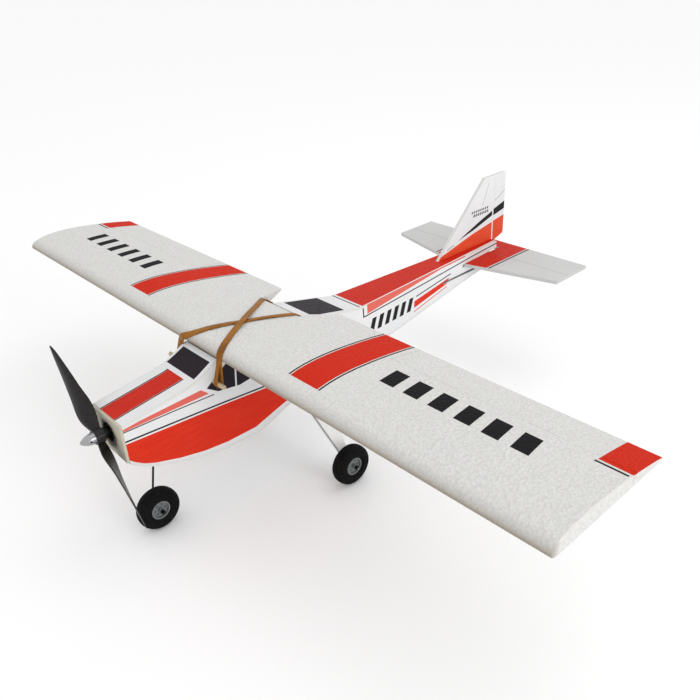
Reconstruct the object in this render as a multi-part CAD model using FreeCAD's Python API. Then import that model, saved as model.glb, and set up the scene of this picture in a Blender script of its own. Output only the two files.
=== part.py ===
import FreeCAD, Part
import math
import os

# A radio-controlled foam trainer airplane, in millimetres: +X to port, +Y aft, +Z up.
# It is modelled from a datum in the middle of the wing's leading edge, at the height of the wing's
# flat underside. export_node() then moves each piece so that the origin is under the middle of the
# airplane's box, on the ground.

V = FreeCAD.Vector

# Wing
wing_half_span = 480.0
wing_chord = 171.0
wing_thickness = 20.0
wing_nose_height = 6.0
wing_nose_length = 12.0
wing_edge_thickness = 3.0
notch_front_y = 135.0
notch_front_half = 41.0
notch_rear_half = 60.0
notch_bevel_y = 120.0
notch_edge_thickness = 1.5
aileron_root_x = 195.0
aileron_hinge_y = 126.0
hinge_end_gap = 0.6
hinge_gap = 0.35
hinge_lip = 3.0
spar_y = 50.0
spar_diameter = 5.0
spar_bore = 3.0
spar_half_length = 400.0
cap_x = 103.0
cap_y = 134.0
cap_height = 0.9
cap_ball_radius = 7.0

# Foam board body
body_half = 33.0
body_tail_half = 9.0
taper_start_y = 140.0
taper_bend_radius = 1500.0
board = 4.0
nose_y = -125.0
nose_top_z = -30.6
nose_bottom_z = -78.0
hood_end = (-30.7, -17.6)
hood_bend_radius = 80.0
windscreen_slope = 0.5
windscreen_end_y = 3.4
rear_deck_start = (135.5, 2.3)
rear_deck_knee = (234.0, -19.75)
rear_deck_end = (548.0, -19.5)
rear_deck_bend_radius = 60.0
tail_end_y = 555.0
belly_nose = [(-125, -78), (-109, -91), (-94, -99), (-63, -111), (-30, -120), (2, -125)]
belly_tail = [
    (46, -125), (70, -119), (95, -109.5), (120, -104.5), (200, -96.5), (300, -86), (420, -70.5), (555, -55),
]
ring_thickness = 3.0
plywood = 3.0

# Tail, cut from thicker foam board
tail_board = 5.0
stab_z = -37.3
stab_half_span = 155.4
stab_root_y = 466.3
stab_tip_y = 505.4
stab_rear_y = 582.6
elevator_hinge_y = 537.0
elevator_notch_half = 11.5
elevator_notch_y = 559.0
rudder_hinge_y = 552.4
fin_base_y = 421.0
fin_top_front_y = 526.0
fin_top_z = 84.0
rudder_rear_y = 578.5
rudder_low_z = -24.0
rudder_low_rear_z = -16.5
fin_tab_y = 480.0
tail_lip = 1.8

# Power train, on the thrust line x = 0
thrust_z = -51.0
propeller_y = -137.0
propeller_radius = 114.5
propeller_tilt = 42.5
hub_radius = 9.0
hub_length = 10.0
bell_radius = 14.0
shaft_radius = 1.6
shaft_clearance = 0.05
adapter_radius = 4.0
spinner_radius = 7.5
spinner_tip_y = -158.3
firewall_y = -92.0
opening_radius = 12.0
screw_radius = 1.5

# Undercarriage
ground_z = -204.0
wheel_radius = 27.0
tyre_width = 20.0
hub_face_radius = 12.0
main_axle_y = 128.0
main_wheel_x = 113.0
main_leg_root = (31.0, 118.0, -106.6)
main_wire_radius = 1.1
nose_axle_y = -91.0
nose_wheel_x = 7.0
nose_leg_x = -6.0
nose_leg_top = (-73.5, -93.0)
nose_wire_radius = 1.25
axle_clearance = 0.05
saddle_x = 20.0
collar_radius = 2.8
collar_length = 3.0
axle_overhang = 4.6

# Wing dowels and rubber bands
dowel_radius = 2.75
dowel_half_length = 52.0
front_dowel_ends = (-64.0, 54.0)
front_dowel = (-4.0, -27.0)
rear_dowel = (146.0, -22.0)
band_width = 4.5
band_thickness = 1.2
port_band = [(-7, 42), (0, 46), (58, 14), (120, -32), (135, -38.2), (150, -41)]
starboard_band = [
    (-7, -41), (-1.5, -37.5), (0, -30), (4, -17), (30, 0), (58, 14), (120, 33), (135, 38.2), (150, 41),
]

# Servos and pushrods
servo_width = 12.2
servo_length = 22.8
servo_height = 22.5
servo_shaft_offset = 6.2
servo_ear = 4.7
rod_radius = 0.6
rod_bend = 1.3
pin_clearance = 0.1
horn_thickness = 1.5
horn_pad = 1.2
aileron_arm = 12.0
aileron_servo_x = 232.0
aileron_servo_y = 95.0
elevator_arm = 15.0
elevator_servo = (20.0, 150.0)
elevator_horn_x = 17.0
elevator_slot_y = (416.5, 497.0)
elevator_slot_half_height = 1.8
rudder_arm = 10.0
rudder_servo = (-6.0, 190.0)
rudder_horn_z = -14.0
arm_z = -45.5
servo_top_z = -50.1

# Where the origin lies, from the datum
origin_y = (spinner_tip_y + stab_rear_y) / 2
to_origin = V(0, -origin_y, -ground_z)

# Equipment
battery_z = -87.0
battery_height = 23.0

cut_margin = 60.0


def export_node(name, *solids):
    """Writes one node, moved from the datum to the origin."""
    shape = solids[0] if len(solids) == 1 else Part.makeCompound(list(solids))
    shape = shape.copy()
    shape.translate(to_origin)
    assert shape.isValid(), name
    shape.exportStep("parts/" + name + ".step")
    print(name, len(shape.Solids), round(sum(s.Volume for s in shape.Solids)))


# Shape helpers


def block(x0, x1, y0, y1, z0, z1):
    return Part.makeBox(x1 - x0, y1 - y0, z1 - z0, V(x0, y0, z0))


def cylinder(radius, start, end):
    axis = end - start
    return Part.makeCylinder(radius, axis.Length, start, axis)


def pipe(outer, inner, start, end):
    return cylinder(outer, start, end).cut(cylinder(inner, start, end))


def turned(shape, axis, angle):
    copy = shape.copy()
    copy.rotate(V(0, 0, 0), axis, angle)
    return copy


def placed(shape, x, y, z):
    copy = shape.copy()
    copy.translate(V(x, y, z))
    return copy


def line(a, b):
    return Part.LineSegment(a, b).toShape()


def spline(points):
    curve = Part.BSplineCurve()
    curve.interpolate(points)
    return curve.toShape()


def face_of(edges):
    return Part.Face(Part.Wire(Part.__sortEdges__(edges)))


def polygon(points):
    return Part.Face(Part.makePolygon(points + [points[0]]))


def along_x(outline, x0, x1):
    """A solid from an outline of (y, z) points."""
    return polygon([V(x0, y, z) for y, z in outline]).extrude(V(x1 - x0, 0, 0))


def along_y(outline, y0, y1):
    """A solid from an outline of (x, z) points."""
    return polygon([V(x, y0, z) for x, z in outline]).extrude(V(0, y1 - y0, 0))


def along_z(outline, z0, z1):
    """A solid from an outline of (x, y) points."""
    return polygon([V(x, y, z0) for x, y in outline]).extrude(V(0, 0, z1 - z0))


def mirrored(shape):
    return shape.mirror(V(0, 0, 0), V(1, 0, 0))


def rounded_path(points, radii):
    """Straight runs joined by tangent arcs, with one radius for each inner point."""
    edges = []
    start = points[0]
    for before, corner, after, radius in zip(points, points[1:], points[2:], radii):
        back = (before - corner).normalize()
        ahead = (after - corner).normalize()
        half_turn = (math.pi - back.getAngle(ahead)) / 2
        reach = radius * math.tan(half_turn)
        bisector = (back + ahead).normalize()
        depth = radius / math.cos(half_turn) - radius
        arc_start = corner + back * reach
        arc_end = corner + ahead * reach
        edges.append(line(start, arc_start))
        edges.append(Part.Arc(arc_start, corner + bisector * depth, arc_end).toShape())
        start = arc_end
    edges.append(line(start, points[-1]))
    return edges


def wire_rod(points, radius, radii):
    """A round wire along a rounded path."""
    path = Part.Wire(rounded_path(points, radii))
    axis = points[1] - points[0]
    profile = Part.Wire([Part.makeCircle(radius, points[0], axis)])
    return path.makePipeShell([profile], True, False)


def offset_line_points(points, distance):
    """The corners of an open (y, z) polyline moved sideways by a distance, below it where positive."""
    moved = []
    normals = []
    for (y0, z0), (y1, z1) in zip(points, points[1:]):
        length = math.hypot(y1 - y0, z1 - z0)
        normals.append(((z1 - z0) / length, -(y1 - y0) / length))
    for i, (y, z) in enumerate(points):
        first = normals[max(i - 1, 0)]
        second = normals[min(i, len(normals) - 1)]
        scale = distance / (1 + first[0] * second[0] + first[1] * second[1])
        moved.append((y + (first[0] + second[0]) * scale, z + (first[1] + second[1]) * scale))
    return moved


def bent_sheet(points, radius, thickness):
    """A sheet whose upper face follows a bent (y, z) line with one bend, much wider than the body."""
    x0 = -cut_margin
    lower = offset_line_points(points, thickness)
    top = rounded_path([V(x0, y, z) for y, z in points], [radius])
    under = rounded_path([V(x0, y, z) for y, z in lower], [radius + thickness])
    ends = [line(V(x0, *points[i]), V(x0, *lower[i])) for i in (0, -1)]
    return face_of(top + under + ends).extrude(V(2 * cut_margin, 0, 0))


# Wing


def wing_top(y):
    """Height of the wing's upper surface at a distance behind the leading edge."""
    s = y / wing_chord
    bow = 10 * (0.2969 * math.sqrt(s) - 0.126 * s - 0.3516 * s**2 + 0.2843 * s**3 - 0.1015 * s**4)
    bow_height = wing_thickness - 0.7 * wing_nose_height - 0.3 * wing_edge_thickness
    return wing_nose_height * (1 - s) + wing_edge_thickness * s + bow_height * bow


def wing_face(x):
    """The wing's section: flat underside, arched top and a rounded nose."""
    rows = 18
    top = []
    for i in range(rows + 1):
        s = (1 + math.cos(math.pi * i / rows)) / 2
        top.append(V(x, wing_chord * s, wing_top(wing_chord * s)))
    nose = []
    for angle in (25, 50, 70, 90):
        a = math.radians(angle)
        y = wing_nose_length * (1 - math.cos(a))
        nose.append(V(x, y, wing_nose_height * (1 - math.sin(a))))
    corner = V(x, wing_chord, 0)
    return face_of([spline(top + nose), line(nose[-1], corner), line(corner, top[0])])


hinge_radius = wing_top(aileron_hinge_y) / 2
aileron_hinge_z = hinge_radius


def aileron_bay():
    """The room that the port aileron turns in, with a hollow for its round front."""
    lip_y = aileron_hinge_y - hinge_lip
    outer = wing_half_span + 1
    room = block(aileron_root_x - hinge_end_gap, outer, lip_y, wing_chord + 1, -5, 25)
    start = V(aileron_root_x - hinge_end_gap, aileron_hinge_y, aileron_hinge_z)
    return room.fuse(cylinder(hinge_radius + hinge_gap, start, V(outer, start.y, start.z)))


def servo_pocket():
    """A pocket in the port wing's underside for a servo on its side, with room for its arm."""
    y0 = aileron_servo_y - (servo_length - servo_shaft_offset) - servo_ear
    y1 = aileron_servo_y + servo_shaft_offset + servo_ear
    x0 = aileron_servo_x - servo_height
    return block(x0, aileron_servo_x + 9, y0 - 0.1, y1 + 0.1, -1, servo_width)


def wing():
    body = wing_face(-wing_half_span).extrude(V(2 * wing_half_span, 0, 0))
    rear = wing_chord + 1
    slope = (notch_rear_half - notch_front_half) / (wing_chord - notch_front_y)
    rear_half = notch_rear_half + slope
    notch = [(-rear_half, rear), (-notch_front_half, notch_front_y)]
    notch += [(notch_front_half, notch_front_y), (rear_half, rear)]
    body = body.cut(along_z(notch, -5, 25))
    bevel = [(notch_bevel_y, wing_top(notch_bevel_y)), (notch_front_y, notch_edge_thickness)]
    bevel += [(rear, notch_edge_thickness), (rear, 25), (notch_bevel_y, 25)]
    body = body.cut(along_x(bevel, -notch_front_half, notch_front_half))
    radius = spar_diameter / 2
    groove = block(-spar_half_length, spar_half_length, spar_y - radius, spar_y + radius, -1, radius + 1)
    ends = [V(side * spar_half_length, spar_y, radius + 1) for side in (-1, 1)]
    body = body.cut(groove).cut(cylinder(radius, *ends))
    for cutter in (aileron_bay(), servo_pocket()):
        body = body.cut(cutter).cut(mirrored(cutter))
    return body


def wing_spar():
    radius = spar_diameter / 2
    ends = [V(side * spar_half_length, spar_y, radius + 1) for side in (-1, 1)]
    return pipe(radius, spar_bore / 2, *ends)


def aileron():
    """The port aileron: the rear of the wing's section with a round front on the hinge line."""
    x = aileron_root_x
    y = aileron_hinge_y
    top = []
    rows = 6
    for i in range(rows + 1):
        station = y + (wing_chord - y) * i / rows
        top.append(V(x, station, wing_top(station)))
    under = V(x, y, 0)
    corner = V(x, wing_chord, 0)
    front = Part.Arc(under, V(x, y - hinge_radius, aileron_hinge_z), top[0]).toShape()
    face = face_of([front, spline(top), line(top[-1], corner), line(corner, under)])
    return face.extrude(V(wing_half_span - x, 0, 0))


def wing_cap(side):
    """A small domed cap that lies on the wing's top."""
    ball = Part.makeSphere(cap_ball_radius, V(0, 0, cap_height - cap_ball_radius))
    cap = ball.common(block(-9, 9, -9, 9, 0, 9))
    slope = math.atan2(wing_top(cap_y + 1) - wing_top(cap_y - 1), 2)
    cap = turned(cap, V(1, 0, 0), math.degrees(slope))
    return placed(cap, side * cap_x, cap_y, wing_top(cap_y))


# Body


def body_half_at(y):
    """Half the body's width at a station."""
    if y < taper_start_y:
        return body_half
    share = (y - taper_start_y) / (tail_end_y - taper_start_y)
    return body_half + (body_tail_half - body_half) * share


def plan_edge(inset):
    """The port edge of the body seen from above, moved in by an inset."""
    rear_y = tail_end_y + 20
    points = [V(body_half - inset, nose_y - 5, -cut_margin * 3)]
    points.append(V(body_half - inset, taper_start_y, points[0].z))
    points.append(V(body_half_at(rear_y) - inset, rear_y, points[0].z))
    return rounded_path(points, [taper_bend_radius])


def plan_solid(inset):
    """Everything between the two sides, seen from above."""
    port = Part.Wire(plan_edge(inset))
    starboard = port.mirror(V(0, 0, 0), V(1, 0, 0))
    first = [port.OrderedVertexes[i].Point for i in (0, -1)]
    ends = [line(p, V(-p.x, p.y, p.z)) for p in first]
    return face_of(port.Edges + starboard.Edges + ends).extrude(V(0, 0, 6 * cut_margin))


def side_wall():
    """The port side board's thickness, seen from above."""
    return plan_solid(0).cut(plan_solid(board)).common(block(0, 99, -200, 700, -200, 200))


def shifted(points, distance):
    """A smooth (y, z) curve's points moved to the inside of the body."""
    moved = []
    for i, (y, z) in enumerate(points):
        y0, z0 = points[max(i - 1, 0)]
        y1, z1 = points[min(i + 1, len(points) - 1)]
        length = math.hypot(y1 - y0, z1 - z0)
        moved.append((y - (z1 - z0) / length * distance, z + (y1 - y0) / length * distance))
    return moved


def belly_edges(inset, x):
    """The belly line from nose to tail: curved, flat under the cabin, then curved to the tail."""
    nose = shifted(belly_nose, inset)
    tail = shifted(belly_tail, inset)
    nose[-1] = (belly_nose[-1][0], belly_nose[-1][1] + inset)
    tail[0] = (belly_tail[0][0], belly_tail[0][1] + inset)
    curves = [[V(x, y, z) for y, z in points] for points in (nose, tail)]
    return [spline(curves[0]), line(curves[0][-1], curves[1][0]), spline(curves[1])], curves


def belly_sheet():
    """The sheet that closes the body's underside, as wide as the body."""
    x = -cut_margin
    outer, outer_points = belly_edges(0, x)
    inner, inner_points = belly_edges(board, x)
    ends = [line(outer_points[i][i], inner_points[i][i]) for i in (0, -1)]
    sheet = face_of(outer + inner + ends).extrude(V(2 * cut_margin, 0, 0))
    sheet = sheet.common(block(-99, 99, nose_y + ring_thickness, tail_end_y, -200, 50))
    sheet = sheet.common(plan_solid(0))
    for cutter in [nose_leg_slot()] + gear_screws():
        sheet = sheet.cut(cutter)
    return sheet


def nose_leg_slot():
    y, z = nose_leg_top
    top = V(nose_leg_x, y, z)
    foot = V(nose_leg_x, nose_axle_y, ground_z + wheel_radius)
    return cylinder(nose_wire_radius, top, foot)


def hood_line():
    """The (y, z) line of the hood's top and the windscreen, from ahead of the nose ring."""
    start_y = nose_y - 6
    end_z = hood_end[1] + (windscreen_end_y - hood_end[0]) * windscreen_slope
    return [(start_y, hood_line_z(start_y)), hood_end, (windscreen_end_y, end_z)]


def hood_line_z(y):
    """Height of the hood's top ahead of the windscreen."""
    slope = (hood_end[1] - nose_top_z) / (hood_end[0] - nose_y)
    return nose_top_z + slope * (y - nose_y)


def nose_deck():
    """The hood and the windscreen, bent from one sheet."""
    sheet = bent_sheet(hood_line(), hood_bend_radius, board)
    sheet = sheet.common(block(-99, 99, nose_y + ring_thickness, 20, -200, 50))
    return sheet.common(plan_solid(0))


def rear_deck():
    """The slope behind the wing and the long tail top, bent from one sheet."""
    points = [rear_deck_start, rear_deck_knee, rear_deck_end]
    sheet = bent_sheet(points, rear_deck_bend_radius, board)
    sheet = sheet.common(block(-99, 99, rear_deck_start[0], rear_deck_end[0], -200, 50))
    sheet = sheet.common(plan_solid(0))
    half = tail_board / 2
    sheet = sheet.cut(block(-half, half, fin_base_y, tail_end_y, -60, 0))
    return sheet.cut(rudder_rod_slot())


def rudder_rod_slot():
    return block(-10.4, -6.8, 459, 490, -30, -12)


def elevator_rod_slot():
    """A slanting slot that follows the elevator's pushrod through the port side."""
    start_z = arm_z + 2.9
    slope = (stab_z - elevator_arm - start_z) / (elevator_hinge_y - elevator_servo[1])
    front, rear = elevator_slot_y
    half = elevator_slot_half_height
    corners = []
    for y, rise in ((front, -half), (rear, -half), (rear, half), (front, half)):
        corners.append((y, start_z + slope * (y - elevator_servo[1]) + rise))
    return along_x(corners, 5, 30)


def profile_solid():
    """The side boards' outline, seen from the side: between the decks and the belly sheet."""
    x = -cut_margin
    hood = offset_line_points(hood_line(), board)
    deck = offset_line_points([rear_deck_start, rear_deck_knee, rear_deck_end], board)
    front_y = nose_y + ring_thickness
    top = rounded_path([V(x, y, z) for y, z in hood], [hood_bend_radius + board])
    rear = rounded_path([V(x, y, z) for y, z in deck], [rear_deck_bend_radius + board])
    belly, curves = belly_edges(board, x)
    nose_low = curves[0][0]
    tail_low = curves[1][-1]
    hood_front = V(x, *hood[0])
    hood_rear = V(x, *hood[-1])
    saddle = [hood_rear, V(x, hood[-1][0], 5), V(x, deck[0][0], 5), V(x, *deck[0])]
    tail = [V(x, *deck[-1]), V(x, tail_low.y + 1, deck[-1][1]), V(x, tail_low.y + 1, tail_low.z), tail_low]
    edges = top + rear + belly
    edges += [line(a, b) for a, b in zip(saddle, saddle[1:])]
    edges += [line(a, b) for a, b in zip(tail, tail[1:])]
    edges.append(line(nose_low, V(x, hood_front.y, nose_low.z)))
    edges.append(line(V(x, hood_front.y, nose_low.z), hood_front))
    solid = face_of(edges).extrude(V(2 * cut_margin, 0, 0))
    solid = solid.common(block(-99, 99, front_y, tail_end_y, -200, 0))
    return solid.cut(block(-99, 99, 0, rear_deck_start[0], 0, 50))


def stab_slot():
    half = tail_board / 2
    return block(-60, 60, stab_root_y - 2, tail_end_y + 5, stab_z - half, stab_z + half)


def dowel_hole(place):
    return cylinder(dowel_radius, V(-60, *place), V(60, *place))


def fuselage_side(profile):
    """The port side board."""
    side = side_wall().common(profile)
    for cutter in (stab_slot(), dowel_hole(front_dowel), dowel_hole(rear_dowel)):
        side = side.cut(cutter)
    return side


def nose_ring():
    """The plywood ring at the front, with an opening for the motor."""
    y1 = nose_y + ring_thickness
    top = nose_top_z
    outline = [(-body_half, nose_bottom_z), (body_half, nose_bottom_z), (body_half, top), (-body_half, top)]
    ring = along_y(outline, nose_y, y1)
    return ring.cut(cylinder(opening_radius, V(0, nose_y - 1, thrust_z - 1), V(0, y1 + 1, thrust_z - 1)))


def between_sides(shape):
    """Trims a piece to the room between the two side boards."""
    return shape.common(plan_solid(board + 0.05))


def former(y, low, high, rail):
    """A plywood former with an open middle, between the two sides."""
    half = body_half_at(y + plywood) - board
    plate = block(-half, half, y, y + plywood, low, high)
    opening = block(-half + rail, half - rail, y - 1, y + plywood + 1, low + rail, high - rail)
    return between_sides(plate.cut(opening))


def firewall():
    plate = between_sides(block(-body_half, body_half, firewall_y, firewall_y + board, -94.5, -31))
    for x, z in mount_holes():
        plate = plate.cut(cylinder(screw_radius, V(x, firewall_y - 1, z), V(x, firewall_y + board + 1, z)))
    return plate.cut(cylinder(3, V(0, firewall_y - 1, thrust_z), V(0, firewall_y + 9, thrust_z)))


def mount_holes():
    reach = 11.5
    return [(x * reach, thrust_z + z * reach) for x, z in ((1, 1), (-1, 1), (-1, -1), (1, -1))]


def battery_tray():
    plate = between_sides(block(-body_half, body_half, -88, -24, battery_z - plywood, battery_z))
    return plate.cut(block(-8, 8, -44, -30, battery_z - 9, battery_z + 9))


def radio_tray():
    plate = between_sides(block(-body_half, body_half, 4, 96, -103, -100))
    return plate.cut(block(-20, -14, 20, 80, -104, -99))


def servo_tray():
    """A plywood shelf with a rectangular cut-out for each servo's case."""
    y0, y1 = 132.0, 222.0
    ear_z = servo_top_z - 6.5
    shelf = between_sides(block(-body_half, body_half, y0, y1, ear_z - plywood, ear_z))
    for x, y in (elevator_servo, rudder_servo):
        half = servo_width / 2
        rear_y = y + servo_length - servo_shaft_offset
        shelf = shelf.cut(block(x - half, x + half, y - servo_shaft_offset, rear_y, ear_z - 9, ear_z + 9))
    return shelf


# Tail


def tail_cove(start, end):
    """The hollow that a tail surface's round front turns in."""
    return cylinder(tail_board / 2 + hinge_gap, start, end)


def stabilizer():
    half = tail_board / 2
    y1 = elevator_hinge_y - tail_lip
    outline = [(-stab_half_span, y1), (-stab_half_span, stab_tip_y), (0, stab_root_y)]
    outline += [(stab_half_span, stab_tip_y), (stab_half_span, y1)]
    plate = along_z(outline, stab_z - half, stab_z + half)
    ends = [V(side * 200, elevator_hinge_y, stab_z) for side in (-1, 1)]
    return plate.cut(tail_cove(*ends))


def elevator():
    half = tail_board / 2
    x1 = stab_half_span
    x0 = elevator_notch_half
    y = elevator_hinge_y
    front = Part.Arc(V(x0, y, stab_z - half), V(x0, y - half, stab_z), V(x0, y, stab_z + half)).toShape()
    corners = [V(x0, y, stab_z + half), V(x0, stab_rear_y, stab_z + half)]
    corners += [V(x0, stab_rear_y, stab_z - half), V(x0, y, stab_z - half)]
    port = face_of([front] + [line(a, b) for a, b in zip(corners, corners[1:])]).extrude(V(x1 - x0, 0, 0))
    bridge = block(-x0, x0, elevator_notch_y, stab_rear_y, stab_z - half, stab_z + half)
    return port.fuse([mirrored(port), bridge]).removeSplitter()


def fin_front_y(z):
    """Station of the fin's sloping front at a height."""
    base_z = rear_deck_end[1]
    return fin_base_y + (fin_top_front_y - fin_base_y) * (z - base_z) / (fin_top_z - base_z)


def fin():
    half = tail_board / 2
    y1 = rudder_hinge_y - tail_lip
    stab_top = stab_z + half
    deck_under = rear_deck_end[1] - board
    outline = [(fin_front_y(deck_under), deck_under), (fin_top_front_y, fin_top_z)]
    outline += [(y1, fin_top_z), (y1, stab_top), (fin_tab_y, stab_top), (fin_tab_y, deck_under)]
    plate = along_x(outline, -half, half).cut(block(-9, 9, 300, fin_base_y, -60, rear_deck_end[1] + 0.01))
    return plate.cut(tail_cove(V(0, rudder_hinge_y, -60), V(0, rudder_hinge_y, 120)))


def rudder():
    """The rudder: a board with a half-round front on the hinge line and rounded rear corners."""
    half = tail_board / 2
    y = rudder_hinge_y
    outline = [V(-half, y, rudder_low_z), V(-half, rudder_rear_y, rudder_low_rear_z)]
    outline += [V(-half, rudder_rear_y, fin_top_z), V(-half, y, fin_top_z)]
    outline.append(outline[0])
    path = rounded_path(outline, [5.0, 3.0, 0.01])
    plate = face_of(path).extrude(V(tail_board, 0, 0))
    nose = cylinder(half, V(0, y, rudder_low_z - 1), V(0, y, fin_top_z))
    nose = nose.common(block(-9, 9, y - 9, y, rudder_low_z, fin_top_z))
    return plate.fuse(nose).removeSplitter()


# Power train


def along_thrust(radius, y0, y1):
    return cylinder(radius, V(0, y0, thrust_z), V(0, y1, thrust_z))


def motor_mount():
    """The aluminium cross behind the motor."""
    arm = block(-17, 17, firewall_y - 2, firewall_y, thrust_z - 3.5, thrust_z + 3.5)
    cross = arm.copy()
    cross.rotate(V(0, 0, thrust_z), V(0, 1, 0), 45)
    other = arm.copy()
    other.rotate(V(0, 0, thrust_z), V(0, 1, 0), -45)
    cross = cross.fuse([other, along_thrust(9, firewall_y - 2, firewall_y)]).removeSplitter()
    for x, z in mount_holes():
        cross = cross.cut(cylinder(screw_radius, V(x, firewall_y - 5, z), V(x, firewall_y + 5, z)))
    return cross.cut(along_thrust(3, firewall_y - 5, firewall_y + 5))


def motor_stator():
    """The motor's fixed base, bearing tube and wound core."""
    base = along_thrust(bell_radius - 1, firewall_y - 6, firewall_y - 2)
    core = along_thrust(4, firewall_y - 24, firewall_y - 6)
    windings = []
    poles = 9
    for i in range(poles):
        pole = block(-1.6, 1.6, firewall_y - 22, firewall_y - 9, thrust_z + 3, thrust_z + 11)
        pole.rotate(V(0, 0, thrust_z), V(0, 1, 0), 360 / poles * i)
        windings.append(pole)
    solid = base.fuse([core] + windings).removeSplitter()
    return solid.cut(along_thrust(shaft_radius + shaft_clearance, firewall_y - 30, firewall_y + 2))


def motor_bell():
    """The turning can with its magnets' ring, cooling windows and shaft."""
    rear_y = firewall_y - 7
    front_y = firewall_y - 27
    hollow = along_thrust(bell_radius - 2, front_y + 2.5, rear_y + 1)
    can = along_thrust(bell_radius, front_y, rear_y).cut(hollow)
    windows = 6
    for i in range(windows):
        window = block(-2.2, 2.2, front_y - 1, front_y + 3, thrust_z + 6, thrust_z + 11)
        window.rotate(V(0, 0, thrust_z), V(0, 1, 0), 360 / windows * i)
        can = can.cut(window)
    return can.fuse(along_thrust(shaft_radius, propeller_y + 8, firewall_y + 2)).removeSplitter()


def motor_screws():
    screws = []
    for x, z in mount_holes():
        shank = cylinder(screw_radius, V(x, firewall_y - 2, z), V(x, firewall_y + board, z))
        head = cylinder(screw_radius * 1.9, V(x, firewall_y - 4, z), V(x, firewall_y - 2, z))
        screws.append(shank.fuse(head))
    return screws


def prop_adapter():
    """The collet that grips the motor's shaft and carries the propeller."""
    hub_rear = propeller_y + hub_length / 2
    flange = along_thrust(7, hub_rear, hub_rear + 2.5)
    cone = along_thrust(5.5, hub_rear + 2.5, firewall_y - 28)
    stem = along_thrust(adapter_radius, propeller_y - hub_length / 2 - 6, hub_rear)
    solid = stem.fuse([flange, cone]).removeSplitter()
    return solid.cut(along_thrust(shaft_radius, propeller_y + 8, firewall_y))


def blade_section(radius, chord, pitch, thickness, sweep):
    """One section of a blade that points up: a flat back, an arched front and blunt edges."""
    a = math.radians(pitch)
    forward = V(math.sin(a), -math.cos(a), 0)
    across = V(math.cos(a), math.sin(a), 0)
    middle = V(0, 0, radius) + across * (0.1 * chord + sweep)
    lead = middle - across * (0.5 * chord)
    trail = middle + across * (0.5 * chord)
    edge = forward * (0.35 * thickness)
    crown = middle - across * (0.15 * chord) + forward * thickness
    front = spline([lead + edge, crown, trail + edge * 0.6])
    sides = [line(trail + edge * 0.6, trail), line(trail, lead), line(lead, lead + edge)]
    return Part.Wire([front] + sides)


def blade():
    """One twisted blade, from the hub to its pointed tip."""
    rows = [
        (5.0, 10.0, 50.0, 4.6, 0.0),
        (12.0, 14.0, 49.0, 5.0, -0.8),
        (22.0, 20.5, 44.0, 4.4, -2.0),
        (36.0, 24.5, 34.0, 3.5, -2.0),
        (55.0, 21.0, 26.0, 2.7, -1.6),
        (76.0, 16.8, 20.5, 2.1, -1.2),
        (95.0, 11.8, 17.0, 1.6, -1.2),
        (108.0, 6.8, 15.0, 1.1, -1.4),
        (propeller_radius, 1.9, 14.0, 0.8, -1.8),
    ]
    shape = Part.makeLoft([blade_section(*row) for row in rows], True, False)
    shape.translate(V(0, propeller_y, thrust_z))
    return shape


def propeller():
    """A two-blade propeller with a round hub."""
    first = blade()
    second = blade()
    second.rotate(V(0, 0, thrust_z), V(0, 1, 0), 180)
    hub = along_thrust(hub_radius, propeller_y - hub_length / 2, propeller_y + hub_length / 2)
    solid = hub.fuse([first, second]).cut(along_thrust(adapter_radius, propeller_y - 12, propeller_y + 12))
    # The blades' roots are faced off level with the hub, where the nut and the collet's flange bear on it.
    seat = spinner_radius + 0.8
    solid = solid.cut(along_thrust(seat, propeller_y - 14, propeller_y - hub_length / 2))
    solid = solid.cut(along_thrust(seat, propeller_y + hub_length / 2, propeller_y + 14))
    solid.rotate(V(0, 0, thrust_z), V(0, 1, 0), -propeller_tilt)
    return solid


def spinner_nut():
    """The pointed aluminium nut: a flange and a bullet nose."""
    hub_front = propeller_y - hub_length / 2
    y_flange = hub_front - 2
    radius = spinner_radius
    outline = [V(0, hub_front, thrust_z), V(radius, hub_front, thrust_z), V(radius, y_flange, thrust_z)]
    bullet = [V(radius - 0.8, y_flange, thrust_z), V(radius - 1.4, y_flange - 5, thrust_z)]
    bullet += [V(radius - 3.6, y_flange - 10.5, thrust_z), V(1.2, spinner_tip_y + 0.3, thrust_z)]
    tip = V(0, spinner_tip_y, thrust_z)
    edges = [line(a, b) for a, b in zip(outline, outline[1:])]
    edges.append(line(outline[-1], bullet[0]))
    edges.append(spline(bullet))
    edges.append(line(bullet[-1], V(1.2, spinner_tip_y, thrust_z)))
    edges.append(line(V(1.2, spinner_tip_y, thrust_z), tip))
    edges.append(line(tip, outline[0]))
    solid = face_of(edges).revolve(V(0, 0, thrust_z), V(0, 1, 0), 360)
    cross_hole = cylinder(1.2, V(-20, y_flange - 4, thrust_z), V(20, y_flange - 4, thrust_z))
    thread = along_thrust(adapter_radius, hub_front - 6, hub_front + 1)
    return solid.cut(cross_hole).cut(thread)


# Equipment


def rounded_box(radius, *sizes):
    """A box with the edges along Y rounded."""
    box = block(*sizes)
    return box.makeFillet(radius, [e for e in box.Edges if abs(e.tangentAt(0).y) > 0.9])


def battery():
    return rounded_box(3, -17.5, 17.5, -84, -12, battery_z, battery_z + battery_height)


def battery_strap():
    """A hook-and-loop strap round the battery, through the tray."""
    y0, y1 = -58.0, -42.0
    top = battery_z + battery_height
    outer = block(-19, 19, y0, y1, battery_z, top + 1.5)
    return outer.cut(block(-17.5, 17.5, y0 - 1, y1 + 1, battery_z - 1, top))


def speed_controller():
    half = body_half - board
    return rounded_box(1.5, -half, -half + 8, -76, -34, -62, -38)


def receiver():
    unit = block(-11, 11, 24, 66, -100, -87)
    pins = block(-8, 8, 66, 68.5, -97, -90)
    return unit.fuse(pins)


# Undercarriage


def axle_z():
    return ground_z + wheel_radius


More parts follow.
